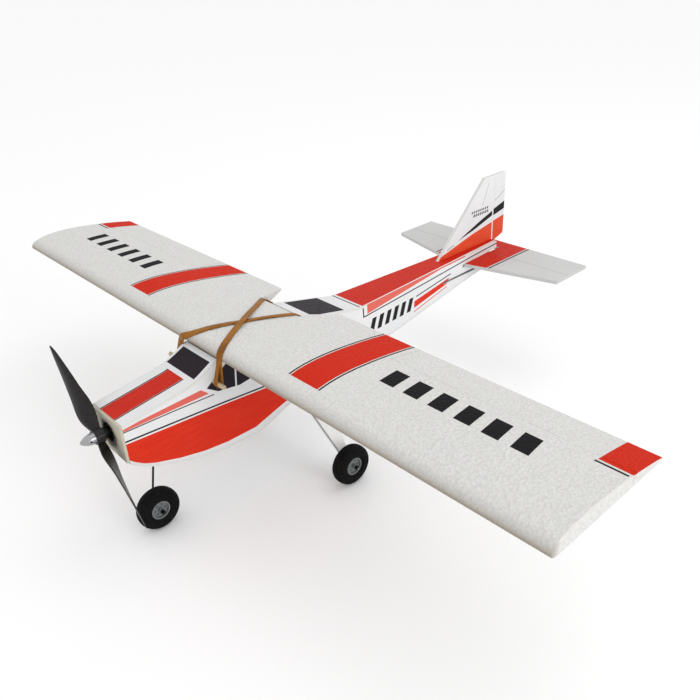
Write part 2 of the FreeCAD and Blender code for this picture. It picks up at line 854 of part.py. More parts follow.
def tyre(x, y):
    """A soft tyre: round shoulders, flat tread, seated in the hub's rim."""
    z = axle_z()
    half = tyre_width / 2
    bead = hub_face_radius
    outline = [V(x - half + 2.5, y, z + bead), V(x - half, y, z + bead + 4)]
    shoulder = V(x - half * 0.62, y, z + wheel_radius - 1.2)
    outer = [V(x - half, y, z + wheel_radius - 9), shoulder, V(x, y, z + wheel_radius)]
    outer += [V(2 * x - p.x, p.y, p.z) for p in (outer[1], outer[0])]
    edges = [line(*outline), line(outline[1], outer[0]), spline(outer)]
    right = [V(2 * x - p.x, p.y, p.z) for p in outline]
    edges += [line(outer[-1], right[1]), line(right[1], right[0]), line(right[0], outline[0])]
    return face_of(edges).revolve(V(x, y, z), V(1, 0, 0), 360)


def hub(x, y, wire_radius):
    """A moulded hub: rim, dished web with lightening holes, and a bored boss."""
    z = axle_z()
    half = tyre_width / 2
    rim_half = half - 2.5
    rim = pipe(hub_face_radius, hub_face_radius - 1.6, V(x - rim_half, y, z), V(x + rim_half, y, z))
    web = cylinder(hub_face_radius - 1, V(x - 4.5, y, z), V(x + 4.5, y, z))
    boss = cylinder(3.2, V(x - half, y, z), V(x + half, y, z))
    solid = rim.fuse([web, boss]).removeSplitter()
    holes = 6
    for i in range(holes):
        a = 2 * math.pi * i / holes
        centre = V(x, y + 6.8 * math.cos(a), z + 6.8 * math.sin(a))
        solid = solid.cut(cylinder(1.2, centre - V(half, 0, 0), centre + V(half, 0, 0)))
    bore = wire_radius + axle_clearance
    return solid.cut(cylinder(bore, V(x - half - 1, y, z), V(x + half + 1, y, z)))


def main_wire_points(side):
    """The main leg's wire from the belly to the end of the axle."""
    x, y, z = main_leg_root
    inner = main_wheel_x - tyre_width / 2
    knee = V(side * (inner - 2.5), main_axle_y, axle_z())
    tip = V(side * (main_wheel_x + tyre_width / 2 + axle_overhang), main_axle_y, axle_z())
    return [V(side * x, y, z), knee, tip]


def main_gear_wire():
    """Both main legs and both axles, bent from one steel wire that crosses under the belly."""
    port = main_wire_points(1)
    starboard = main_wire_points(-1)
    return wire_rod(starboard[::-1] + port, main_wire_radius, [3.0, 5.0, 5.0, 3.0])


def nose_gear_wire():
    y, z = nose_leg_top
    top = V(nose_leg_x, y, z)
    foot = V(nose_leg_x, nose_axle_y, axle_z())
    end = V(nose_wheel_x + tyre_width / 2 + axle_overhang, nose_axle_y, axle_z())
    return wire_rod([top, foot, end], nose_wire_radius, [2.5])


def nose_gear_block():
    """The hardwood block that holds the nose leg inside the belly."""
    y, z = nose_leg_top
    outline = [(y - 10, z - 5), (y + 8, z - 12), (y + 8, z + 2), (y - 10, z + 2)]
    return along_x(outline, nose_leg_x - 8, nose_leg_x + 8).cut(nose_leg_slot())


def gear_fairing():
    """The port leg's white fairing: a thin tapered plate behind the wire."""
    root, knee, _ = main_wire_points(1)
    down = (knee - root).normalize()
    back = V(0, 1, 0) - down * down.y
    back = back.normalize()
    normal = down.cross(back).normalize()
    gap = main_wire_radius
    top = root + down * 6
    low = root + down * ((knee - root).Length - 9)
    corners = [top + back * gap, low + back * gap, low + back * 13, top + back * 37]
    plate = Part.Face(Part.makePolygon(corners + [corners[0]])).extrude(normal * 2.4)
    plate.translate(normal * -1.2)
    return plate


def collars():
    """A set collar on the end of each axle, with its grub screw's hole."""
    made = []
    half = tyre_width / 2
    places = [
        (main_wheel_x, main_axle_y, main_wire_radius, 1),
        (main_wheel_x, main_axle_y, main_wire_radius, -1),
        (nose_wheel_x, nose_axle_y, nose_wire_radius, 1),
    ]
    for x, y, radius, side in places:
        start = V(side * (x + half + 0.4), y, axle_z())
        end = start + V(side * collar_length, 0, 0)
        collar = pipe(collar_radius, radius, start, end)
        middle = (start + end) * 0.5
        made.append(collar.cut(cylinder(0.8, middle, middle + V(0, 0, 9))))
    return made


def gear_plate():
    """The plywood plate inside the belly that the saddles are screwed to."""
    plate = between_sides(along_x([(105, -100.4), (135, -97.6), (135, -94.6), (105, -97.4)], -33, 33))
    for screw in gear_screws():
        plate = plate.cut(screw)
    return plate


def gear_saddle(side):
    """A small plastic strap that holds the main wire against the belly."""
    y, z = main_leg_root[1:]
    x = side * saddle_x
    half = 4.0
    top = z + main_wire_radius - 0.3
    strap = block(x - half, x + half, y - 5, y + 5, z - main_wire_radius - 1.3, top)
    ear = block(x - half, x + half, y + 5, y + 12, top - 1.5, top)
    slot = block(x - 9, x + 9, y - main_wire_radius, y + main_wire_radius, z, z + 5)
    bore = cylinder(main_wire_radius, V(x - 9, y, z), V(x + 9, y, z))
    return strap.fuse(ear).removeSplitter().cut(bore).cut(slot).cut(gear_screw(side))


def gear_screw(side):
    """A pan-head screw up through a saddle's ear, the belly sheet and the plate."""
    y = main_leg_root[1] + 8.5
    low = main_leg_root[2] + main_wire_radius - 1.8
    x = side * saddle_x
    head = cylinder(2.6, V(x, y, low - 1.6), V(x, y, low))
    return head.fuse(cylinder(1.2, V(x, y, low - 1), V(x, y, -95))).removeSplitter()


def gear_screws():
    return [gear_screw(1), gear_screw(-1)]


# Wing hold-down


def dowel(place, ends):
    rod = cylinder(dowel_radius, V(ends[0], *place), V(ends[1], *place))
    return rod.makeChamfer(0.6, rod.Edges[0:1] + rod.Edges[2:3])


def band_sections(points):
    """Rectangles across a strap, each standing on the strap's line and facing along it."""
    made = []
    count = len(points)
    for i, (place, up) in enumerate(points):
        ahead = points[min(i + 1, count - 1)][0] - points[max(i - 1, 0)][0]
        across = ahead.cross(up).normalize() * (band_width / 2)
        rise = up * band_thickness
        corners = [place - across, place + across, place + across + rise, place - across + rise]
        made.append(Part.makePolygon(corners + [corners[0]]))
    return made


def held_height(y):
    """Height of the surface under the bands: the wing's top, then the notch's bevel."""
    if y < notch_bevel_y:
        return wing_top(y)
    share = (y - notch_bevel_y) / (notch_front_y - notch_bevel_y)
    return wing_top(notch_bevel_y) * (1 - share) + notch_edge_thickness * share


def held_normal(y):
    step = min(0.4, y)
    rise = held_height(y + step) - held_height(y - step)
    return V(0, -rise, 2 * step).normalize()


def track_x(track, y):
    """Where a band crosses a station, from its (y, x) track."""
    for (y0, x0), (y1, x1) in zip(track, track[1:]):
        if y <= y1:
            return x0 + (x1 - x0) * (y - y0) / (y1 - y0)
    return track[-1][1]


def tangent_point(start, centre, radius, side):
    """Where a line from a (y, z) start touches a circle, on the side named by +1 or -1."""
    dy, dz = centre[0] - start[0], centre[1] - start[1]
    aim = math.atan2(dz, dy) + side * math.asin(radius / math.hypot(dy, dz))
    reach = math.sqrt(dy**2 + dz**2 - radius**2)
    return start[0] + reach * math.cos(aim), start[1] + reach * math.sin(aim)


def band_end(start, place, side, track):
    """The strap's point where it meets a dowel, with the direction that faces away from the dowel."""
    y, z = tangent_point((start.y, start.z), place, dowel_radius + 0.1, side)
    return V(track_x(track, y), y, z), V(0, y - place[0], z - place[1]).normalize()


def band_points(track, lift):
    """One band's line: up from the front dowel, over the wing and down to the rear dowel."""
    clearance = 0.45
    held = []
    for y in (0.3, 1.0, 2.5, 5.0, 10.0, 20.0, 35.0, 52.0, 69.0, 86.0, 103.0, 118.0, 120.5, 127.0, 134.5):
        normal = held_normal(y)
        extra = lift * max(0.0, 1 - abs(y - 60) / 34)
        held.append((V(track_x(track, y), y, held_height(y)) + normal * (clearance + extra), normal))
    edge_y = notch_front_y + 0.9
    edge = (V(track_x(track, edge_y), edge_y, notch_edge_thickness - 0.4), V(0, 0.85, 0.53))
    nose = (V(track_x(track, -0.35), -0.35, wing_nose_height - 1), V(0, -1, 0))
    front = band_end(nose[0], front_dowel, -1, track)
    rear = band_end(edge[0], rear_dowel, 1, track)
    share = 0.8
    middle = front[0] * (1 - share) + nose[0] * share
    middle.x = track_x(track, middle.y)
    return [front, (middle, nose[1]), nose] + held + [edge, rear]


def dowel_turn(place, x):
    """The band's turn round a dowel."""
    inner = dowel_radius + 0.1
    half = V(band_width / 2, 0, 0)
    centre = V(x, *place)
    return pipe(inner + band_thickness, inner, centre - half, centre + half)


def rubber_band(track, lift):
    """One rubber band, from dowel to dowel over the wing."""
    points = band_points(track, lift)
    strap = Part.makeLoft(band_sections(points), True, True)
    turns = [dowel_turn(front_dowel, points[0][0].x), dowel_turn(rear_dowel, points[-1][0].x)]
    return [strap] + turns


# Servos, arms, horns and pushrods


def servo():
    """A small servo standing up, with its shaft at the origin and its case's top at z = 0."""
    half = servo_width / 2
    y0 = -servo_shaft_offset
    y1 = y0 + servo_length
    case = block(-half, half, y0, y1, -servo_height, 0)
    ears = block(-half, half, y0 - servo_ear, y1 + servo_ear, -6.5, -4.1)
    boss = Part.makeCylinder(half - 0.2, 3.6)
    small = block(-2.6, 2.6, 0, half + 4, 0, 3.6)
    shaft = Part.makeCylinder(2.4, 6.6)
    solid = case.fuse([ears, boss, small, shaft]).removeSplitter()
    for y in (y0 - servo_ear / 2, y1 + servo_ear / 2):
        solid = solid.cut(cylinder(1.0, V(0, y, -9), V(0, y, 0)))
    return solid


def servo_arm(length):
    """A single arm that points along +X from a shaft at the origin, in the servo's own frame."""
    boss = Part.makeCylinder(3.4, 4.0, V(0, 0, 3.9))
    outline = [(0, -3.0), (length, -1.9), (length, 1.9), (0, 3.0)]
    bar = along_z(outline, 3.9, 5.4)
    tip = Part.makeCylinder(1.9, 1.5, V(length, 0, 3.9))
    solid = boss.fuse([bar, tip]).removeSplitter()
    solid = solid.cut(Part.makeCylinder(2.45, 2.75, V(0, 0, 3.9)))
    spare = length - 4.5
    solid = solid.cut(Part.makeCylinder(0.7, 9, V(spare, 0, 0)))
    return solid.cut(Part.makeCylinder(rod_radius + pin_clearance, 9, V(length, 0, 0)))


def upright(shape, place):
    """Stands a servo's part in the body, with the long end of its case aft."""
    return placed(shape, place[0], place[1], servo_top_z)


def on_its_side(shape):
    """Lays a servo's part in the port wing: shaft outboard, case ahead of the shaft."""
    aimed = turned(turned(shape, V(0, 0, 1), 180), V(0, 1, 0), 90)
    return placed(aimed, aileron_servo_x, aileron_servo_y, aileron_hinge_z)


def aileron_servo_arm():
    """The arm hangs straight down from the servo's shaft."""
    aimed = turned(servo_arm(aileron_arm), V(0, 1, 0), 90)
    return placed(aimed, aileron_servo_x, aileron_servo_y, aileron_hinge_z)


def arm_middle(top):
    """Middle of an arm's thickness, from the top of its servo's case."""
    return top + 4.65


def horn_plate(hinge_y, hinge_z, radius, surface_z):
    """A control horn's outline below a hinge line, as (y, z) points, with its hole's place."""
    hole = (hinge_y, hinge_z - radius)
    outline = [
        (hinge_y + 1.5, surface_z - horn_pad),
        (hole[0] - 1.9, hole[1] + 1.5),
        (hole[0] - 1.9, hole[1] - 1.5),
        (hole[0] + 1.9, hole[1] - 1.9),
        (hinge_y + 12.5, surface_z - horn_pad),
    ]
    return outline, hole


def control_horn(x, hinge_y, hinge_z, radius, surface_z):
    """A horn below a surface: a pad with two screw heads, and an upright plate with a row of holes."""
    outline, hole = horn_plate(hinge_y, hinge_z, radius, surface_z)
    half = horn_thickness / 2
    plate = along_x(outline, x - half, x + half)
    pad = block(x - 5, x + 5, hinge_y + 1.5, hinge_y + 14, surface_z - horn_pad, surface_z)
    solid = plate.fuse(pad).removeSplitter()
    for rise in (0, 3.2):
        start = V(x - 5, hole[0], hole[1] + rise)
        shift = V(0, rise * 0.25, 0)
        solid = solid.cut(cylinder(horn_hole_radius(radius), start + shift, start + shift + V(10, 0, 0)))
    return solid


def horn_hole_radius(radius):
    """The elevator's servo swings level and its horn upright, so that horn's hole is wider."""
    return 1.3 if radius == elevator_arm else 0.75


def aileron_rod():
    """The port aileron's pushrod: a wire with both ends bent inboard through its holes."""
    x = arm_middle(aileron_servo_x)
    z = aileron_hinge_z - aileron_arm
    out = 2.4
    points = [V(x - 1.8, aileron_servo_y, z), V(x + out, aileron_servo_y, z)]
    points += [V(x + out, aileron_hinge_y, z), V(x - 1.8, aileron_hinge_y, z)]
    return wire_rod(points, rod_radius, [rod_bend, rod_bend])


def elevator_rod():
    """From the elevator servo's arm, out through the port side, to the horn under the elevator."""
    x, y = elevator_servo
    pin_x = x - elevator_arm
    horn_z = stab_z - elevator_arm
    points = [
        V(pin_x, y, arm_z - 1.8),
        V(pin_x, y, arm_z + 2.9),
        V(elevator_horn_x - 2.6, elevator_hinge_y, horn_z),
        V(elevator_horn_x + 2.2, elevator_hinge_y, horn_z),
    ]
    return wire_rod(points, rod_radius, [rod_bend, rod_bend])


def rudder_rod():
    """From the rudder servo's arm, up through the rear deck, to the horn on the rudder."""
    x, y = rudder_servo
    pin_x = x - rudder_arm
    high = rudder_horn_z + 2.4
    points = [V(pin_x, y, arm_z - 1.8), V(pin_x, y, arm_z + 2.9), V(-9.6, 440, -33)]
    points += [V(-8.4, 505, high), V(-rudder_arm, rudder_hinge_y, high)]
    points.append(V(-rudder_arm, rudder_hinge_y, rudder_horn_z - 2.2))
    return wire_rod(points, rod_radius, [rod_bend, 60.0, 60.0, rod_bend])


def rudder_horn():
    """A level plate on the rudder's starboard face, with its hole beside the hinge line."""
    half = horn_thickness / 2
    face = tail_board / 2
    y = rudder_hinge_y
    hole = (-rudder_arm, y)
    outline = [(-face - horn_pad, y + 1.8), (hole[0] + 1.5, y - 1.9), (hole[0] - 1.9, y - 1.9)]
    outline += [(hole[0] - 1.9, y + 1.9), (-face - horn_pad, y + 12.5)]
    plate = along_z(outline, rudder_horn_z - half, rudder_horn_z + half)
    pad = block(-face - horn_pad, -face, y + 1.8, y + 14, rudder_horn_z - 0.7, rudder_horn_z + 8)
    solid = plate.fuse(pad).removeSplitter()
    bore = rod_radius + pin_clearance + 0.05
    return solid.cut(cylinder(bore, V(*hole, rudder_horn_z - 5), V(*hole, rudder_horn_z + 5)))


def build():
    os.makedirs("parts", exist_ok=True)
    profile = profile_solid()
    side = fuselage_side(profile)
    export_node("fuselage_side_port", side.cut(elevator_rod_slot()))
    export_node("fuselage_side_starboard", mirrored(side))
    export_node("fuselage_bottom", belly_sheet())
    export_node("nose_deck", nose_deck())
    export_node("rear_deck", rear_deck())
    export_node("nose_ring", nose_ring())
    export_node("firewall", firewall())
    export_node("formers", former(0, -120, -7.2, 9), former(100, -102, -1, 9), former(228, -88, -25, 5))
    export_node("battery_tray", battery_tray())
    export_node("radio_tray", radio_tray())
    export_node("servo_tray", servo_tray())

    export_node("wing", wing())
    export_node("wing_spar", wing_spar())
    export_node("wing_caps", wing_cap(1), wing_cap(-1))
    port_aileron = aileron()
    export_node("aileron_port", port_aileron)
    export_node("aileron_starboard", mirrored(port_aileron))

    export_node("stabilizer", stabilizer())
    export_node("elevator", elevator())
    export_node("fin", fin())
    export_node("rudder", rudder())

    export_node("motor_mount", motor_mount())
    export_node("motor_stator", motor_stator())
    export_node("motor_bell", motor_bell())
    export_node("motor_screws", *motor_screws())
    export_node("prop_adapter", prop_adapter())
    export_node("propeller", propeller())
    export_node("spinner_nut", spinner_nut())

    export_node("battery", battery())
    export_node("battery_strap", battery_strap())
    export_node("speed_controller", speed_controller())
    export_node("receiver", receiver())

    wheels = {
        "nose": (nose_wheel_x, nose_axle_y, nose_wire_radius),
        "port": (main_wheel_x, main_axle_y, main_wire_radius),
        "starboard": (-main_wheel_x, main_axle_y, main_wire_radius),
    }
    for name, (x, y, wire_radius) in wheels.items():
        export_node("tyre_" + name, tyre(x, y))
        export_node("wheel_hub_" + name, hub(x, y, wire_radius))
    export_node("wheel_collars", *collars())
    export_node("main_gear_wire", main_gear_wire())
    export_node("nose_gear_wire", nose_gear_wire())
    fairing = gear_fairing()
    export_node("gear_fairings", fairing, mirrored(fairing))
    export_node("gear_blocks", nose_gear_block(), gear_plate())
    export_node("gear_saddles", gear_saddle(1), gear_saddle(-1))
    export_node("gear_screws", *gear_screws())

    rear_ends = (-dowel_half_length, dowel_half_length)
    export_node("wing_dowels", dowel(front_dowel, front_dowel_ends), dowel(rear_dowel, rear_ends))
    export_node("rubber_bands", *rubber_band(port_band, 1.6), *rubber_band(starboard_band, 0.0))

    export_node("tail_servos", upright(servo(), elevator_servo), upright(servo(), rudder_servo))
    elevator_lever = turned(servo_arm(elevator_arm), V(0, 0, 1), 180)
    export_node("elevator_servo_arm", upright(elevator_lever, elevator_servo))
    export_node("elevator_pushrod", elevator_rod())
    surface_z = stab_z - tail_board / 2
    horn = control_horn(elevator_horn_x, elevator_hinge_y, stab_z, elevator_arm, surface_z)
    export_node("elevator_horn", horn)
    export_node("rudder_servo_arm", upright(turned(servo_arm(rudder_arm), V(0, 0, 1), 180), rudder_servo))
    export_node("rudder_pushrod", rudder_rod())
    export_node("rudder_horn", rudder_horn())

    lying_servo = on_its_side(servo())
    export_node("aileron_servos", lying_servo, mirrored(lying_servo))
    horn_x = arm_middle(aileron_servo_x)
    pieces = {
        "aileron_servo_arm": aileron_servo_arm(),
        "aileron_pushrod": aileron_rod(),
        "aileron_horn": control_horn(horn_x, aileron_hinge_y, aileron_hinge_z, aileron_arm, 0.0),
    }
    for name, shape in pieces.items():
        export_node(name + "_port", shape)
        export_node(name + "_starboard", mirrored(shape))


build()
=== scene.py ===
import math

import bpy
from mathutils import Matrix, Vector


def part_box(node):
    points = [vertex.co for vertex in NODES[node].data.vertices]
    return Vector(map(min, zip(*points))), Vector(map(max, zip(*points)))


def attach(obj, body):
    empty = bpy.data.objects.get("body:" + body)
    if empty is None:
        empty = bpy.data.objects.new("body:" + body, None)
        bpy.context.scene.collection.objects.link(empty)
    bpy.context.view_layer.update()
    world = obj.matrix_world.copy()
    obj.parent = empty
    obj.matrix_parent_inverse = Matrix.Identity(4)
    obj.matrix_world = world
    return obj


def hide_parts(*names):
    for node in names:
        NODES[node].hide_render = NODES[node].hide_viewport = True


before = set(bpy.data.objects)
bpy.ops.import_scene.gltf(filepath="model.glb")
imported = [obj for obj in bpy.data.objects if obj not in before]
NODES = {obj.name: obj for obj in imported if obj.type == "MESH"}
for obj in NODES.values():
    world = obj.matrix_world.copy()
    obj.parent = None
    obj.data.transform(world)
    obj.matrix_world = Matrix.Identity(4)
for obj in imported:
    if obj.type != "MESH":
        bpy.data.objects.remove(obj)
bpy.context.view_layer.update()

# Markings and small pieces are placed in millimetres from the wing's datum: the middle of its
# leading edge, at the height of its flat underside.
WING_LOW, WING_HIGH = (Vector(corner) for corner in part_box("wing"))
DATUM = Vector((0.0, WING_LOW.y, WING_LOW.z))
CHORD = (WING_HIGH.y - WING_LOW.y) * 1000


def at(x, y, z):
    """A point in metres from a place in millimetres from the datum."""
    return DATUM + Vector((x, y, z)) * 0.001


# Camera, floor and light

CAMERA_PLACE = (689.5, -373.7, 413.8)
# Azimuth, elevation and roll, in degrees.
CAMERA_ANGLES = (48.48, 29.01, -2.88)
CAMERA_LENS = 38.25
CAMERA_SENSOR = 36
CAMERA_CLIP_END = 50
FLOOR_SIZE = 40
FLOOR_COLOUR = (0.97, 0.97, 0.97)
WORLD_STRENGTH = 0.98
LIGHT_TARGET = (0, 0, 0.1)
# Each light's name, place in metres, diameter and power.
LIGHTS = (
    ("key_light", (0.5, 0.9, 2.4), 1.4, 4),
    ("port_light", (2.7, 0.1, 0.85), 1.2, 15),
)


def aim_camera():
    azimuth, elevation, roll = (math.radians(angle) for angle in CAMERA_ANGLES)
    back = Vector((
        math.sin(azimuth) * math.cos(elevation),
        -math.cos(azimuth) * math.cos(elevation),
        math.sin(elevation),
    ))
    right = (-back).cross(Vector((0, 0, 1))).normalized()
    up = right.cross(-back)
    level = right * math.cos(roll) + up * math.sin(roll)
    upright = up * math.cos(roll) - right * math.sin(roll)
    camera = bpy.data.objects.new("camera", bpy.data.cameras.new("camera"))
    camera.data.lens = CAMERA_LENS
    camera.data.sensor_width = CAMERA_SENSOR
    camera.data.clip_end = CAMERA_CLIP_END
    camera.matrix_world = Matrix((level, upright, back)).transposed().to_4x4()
    camera.location = at(*CAMERA_PLACE)
    bpy.context.collection.objects.link(camera)
    bpy.context.scene.camera = camera


def area_light(name, location, size, power):
    light = bpy.data.lights.new(name, "AREA")
    light.shape = "DISK"
    light.size = size
    light.energy = power
    lamp = bpy.data.objects.new(name, light)
    lamp.location = location
    aim = Vector(LIGHT_TARGET) - Vector(location)
    lamp.rotation_euler = aim.to_track_quat("-Z", "Y").to_euler()
    bpy.context.collection.objects.link(lamp)


def studio():
    bpy.ops.mesh.primitive_plane_add(size=FLOOR_SIZE)
    floor = bpy.context.object
    floor.name = "floor"
    floor_paint = Paint("studio_floor")
    floor_paint.shader(FLOOR_COLOUR, roughness=0.95, Specular_IOR_Level=0.0)
    floor.data.materials.append(floor_paint.material)
    world = bpy.data.worlds.new("studio")
    world.use_nodes = True
    background = world.node_tree.nodes["Background"]
    background.inputs["Color"].default_value = (1, 1, 1, 1)
    background.inputs["Strength"].default_value = WORLD_STRENGTH
    bpy.context.scene.world = world
    for light in LIGHTS:
        area_light(*light)
    bpy.context.scene.view_settings.view_transform = "Standard"
    bpy.context.scene.view_settings.look = "None"


# Material building


class Paint:
    """One procedural material. Its coordinates are in millimetres from the datum."""

    def __init__(self, name):
        self.material = bpy.data.materials.new(name)
        self.material.use_nodes = True
        self.tree = self.material.node_tree
        self.tree.nodes.clear()
        self.cache = {}

    def node(self, kind, **settings):
        made = self.tree.nodes.new(kind)
        for key, value in settings.items():
            setattr(made, key, value)
        return made

    def link(self, source, target):
        self.tree.links.new(source, target)

    def feed(self, socket, value):
        if isinstance(value, bpy.types.NodeSocket):
            self.link(value, socket)
        else:
            socket.default_value = value

    def place(self):
        """Coordinates in millimetres from the datum, as a vector."""
        if "place" not in self.cache:
            texture = self.node("ShaderNodeTexCoord")
            mapping = self.node("ShaderNodeMapping")
            mapping.inputs["Scale"].default_value = (1000, 1000, 1000)
            mapping.inputs["Location"].default_value = tuple(-1000 * c for c in DATUM)
            self.link(texture.outputs["Object"], mapping.inputs["Vector"])
            self.cache["place"] = mapping.outputs["Vector"]
            self.cache["normal"] = texture.outputs["Normal"]
        return self.cache["place"]

    def split(self, name):
        """The three parts of the place or of the normal."""
        self.place()
        key = name + "_parts"
        if key not in self.cache:
            parts = self.node("ShaderNodeSeparateXYZ")
            self.link(self.cache[name], parts.inputs[0])
            self.cache[key] = [parts.outputs[i] for i in range(3)]
        return self.cache[key]

    def math(self, operation, a, b=0.0, c=0.0, clamp=False):
        made = self.node("ShaderNodeMath", operation=operation, use_clamp=clamp)
        self.feed(made.inputs[0], a)
        self.feed(made.inputs[1], b)
        self.feed(made.inputs[2], c)
        return made.outputs[0]

    def mix(self, mask, a, b):
        made = self.node("ShaderNodeMix", data_type="RGBA")
        self.feed(made.inputs["Factor"], mask)
        for socket, colour in ((made.inputs["A"], a), (made.inputs["B"], b)):
            self.feed(socket, colour if isinstance(colour, bpy.types.NodeSocket) else (*colour, 1.0))
        return made.outputs["Result"]

    def noise(self, scale, detail=2.0, stretch=(1, 1, 1), roughness=0.5):
        mapping = self.node("ShaderNodeMapping")
        mapping.inputs["Scale"].default_value = stretch
        self.link(self.place(), mapping.inputs["Vector"])
        made = self.node("ShaderNodeTexNoise")
        self.link(mapping.outputs["Vector"], made.inputs["Vector"])
        made.inputs["Scale"].default_value = scale
        made.inputs["Detail"].default_value = detail
        made.inputs["Roughness"].default_value = roughness
        return made.outputs["Fac"]

    def cells(self, scale, feature="F1", smoothness=None):
        made = self.node("ShaderNodeTexVoronoi", feature=feature)
        self.link(self.place(), made.inputs["Vector"])
        made.inputs["Scale"].default_value = scale
        if smoothness is not None:
            made.inputs["Smoothness"].default_value = smoothness
        return made.outputs["Distance"]

    def ramp(self, value, low, high, to_low=0.0, to_high=1.0):
        made = self.node("ShaderNodeMapRange", clamp=True)
        self.feed(made.inputs["Value"], value)
        for key, number in (("From Min", low), ("From Max", high), ("To Min", to_low), ("To Max", to_high)):
            made.inputs[key].default_value = number
        return made.outputs["Result"]

    def bump(self, height, distance, strength=1.0, below=None):
        made = self.node("ShaderNodeBump")
        self.feed(made.inputs["Height"], height)
        made.inputs["Distance"].default_value = distance
        made.inputs["Strength"].default_value = strength
        if below is not None:
            self.link(below, made.inputs["Normal"])
        return made.outputs["Normal"]

    def shader(self, colour, roughness=0.5, normal=None, **constants):
        shader = self.node("ShaderNodeBsdfPrincipled")
        output = self.node("ShaderNodeOutputMaterial")
        self.link(shader.outputs[0], output.inputs[0])
        is_link = isinstance(colour, bpy.types.NodeSocket)
        self.feed(shader.inputs["Base Color"], colour if is_link else (*colour, 1.0))
        self.feed(shader.inputs["Roughness"], roughness)
        if normal is not None:
            self.link(normal, shader.inputs["Normal"])
        for key, value in constants.items():
            shader.inputs[key.replace("_", " ")].default_value = value
        return self.material

    # Shapes of printed ink, on any two coordinates in millimetres

    def edge_distance(self, u, v, start, end):
        """How far a point lies to the left of the line from start to end."""
        length = math.hypot(end[0] - start[0], end[1] - start[1])
        nu, nv = -(end[1] - start[1]) / length, (end[0] - start[0]) / length
        base = self.math("MULTIPLY_ADD", u, nu, -(nu * start[0] + nv * start[1]))
        return self.math("MULTIPLY_ADD", v, nv, base)

    def patch(self, u, v, points, soft=0.25):
        """A mask that is 1 inside a convex outline."""
        area = sum(a[0] * b[1] - b[0] * a[1] for a, b in zip(points, points[1:] + points[:1]))
        ring = points if area > 0 else points[::-1]
        inside = None
        for start, end in zip(ring, ring[1:] + ring[:1]):
            distance = self.edge_distance(u, v, start, end)
            inside = distance if inside is None else self.math("MINIMUM", inside, distance)
        return self.math("MULTIPLY_ADD", inside, 1 / soft, 0.5, clamp=True)

    def beside(self, u, v, points, far):
        """Everything between a run of points and the level v = far, with no seam at the points."""
        overlap = 0.6
        masks = []
        for (u0, v0), (u1, v1) in zip(points, points[1:]):
            extra = overlap * (v1 - v0) / (u1 - u0)
            start, end = u0 - overlap, u1 + overlap
            corners = [(start, v0 - extra), (end, v1 + extra), (end, far), (start, far)]
            masks.append(self.patch(u, v, corners))
        return self.any_of(masks)

    def any_of(self, masks):
        total = masks[0]
        for mask in masks[1:]:
            total = self.math("MAXIMUM", total, mask)
        return total

    def both(self, *masks):
        total = masks[0]
        for mask in masks[1:]:
            total = self.math("MULTIPLY", total, mask)
        return total

    def above(self, value, limit, soft=0.25):
        return self.math("MULTIPLY_ADD", self.math("SUBTRACT", value, limit), 1 / soft, 0.5, clamp=True)

    def below(self, value, limit, soft=0.25):
        return self.math("MULTIPLY_ADD", self.math("SUBTRACT", limit, value), 1 / soft, 0.5, clamp=True)

    def between(self, value, low, high, soft=0.25):
        return self.both(self.above(value, low, soft), self.below(value, high, soft))

    def strip(self, u, v, points, width):
        """A line of ink along a run of points."""
        masks = []
        for (u0, v0), (u1, v1) in zip(points, points[1:]):
            length = math.hypot(u1 - u0, v1 - v0)
            nu, nv = -(v1 - v0) / length * width / 2, (u1 - u0) / length * width / 2
            corners = [(u0 + nu, v0 + nv), (u0 - nu, v0 - nv), (u1 - nu, v1 - nv), (u1 + nu, v1 + nv)]
            masks.append(self.patch(u, v, corners))
        return self.any_of(masks)

    def bars(self, u, v, corners, count, lean, duty):
        """A row of slanting bars between two lines of ink, as plain lettering-sized marks."""
        (u0, low), (u1, high) = corners
        pitch = (u1 - u0) / count
        slanted = self.math("MULTIPLY_ADD", v, lean, self.math("SUBTRACT", u, u0 + lean * low))
        share = self.math("FRACT", self.math("DIVIDE", slanted, pitch))
        bar = self.between(share, 0.06, duty, 0.25 / abs(pitch))
        ends = self.between(slanted, 0.01, u1 - u0 - 0.01)
        return self.both(bar, ends, self.between(v, low, high))


# Inks and the printed windows

RED = (0.62, 0.022, 0.007)
RED_STREAK = (0.66, 0.036, 0.012)
# Red with painted shade, for the hollows between the beads.
RED_HOLLOW_SHADE = (0.56, 0.024, 0.008)
SOFT_RED = (0.68, 0.13, 0.10)
DECK_RED = (0.53, 0.015, 0.005)
DECK_RED_STREAK = (0.57, 0.024, 0.008)
FIN_RED = (0.66, 0.060, 0.020)
FIN_RED_STREAK = (0.70, 0.085, 0.032)
BLACK = (0.010, 0.009, 0.010)
WINDOW = (0.016, 0.011, 0.016)


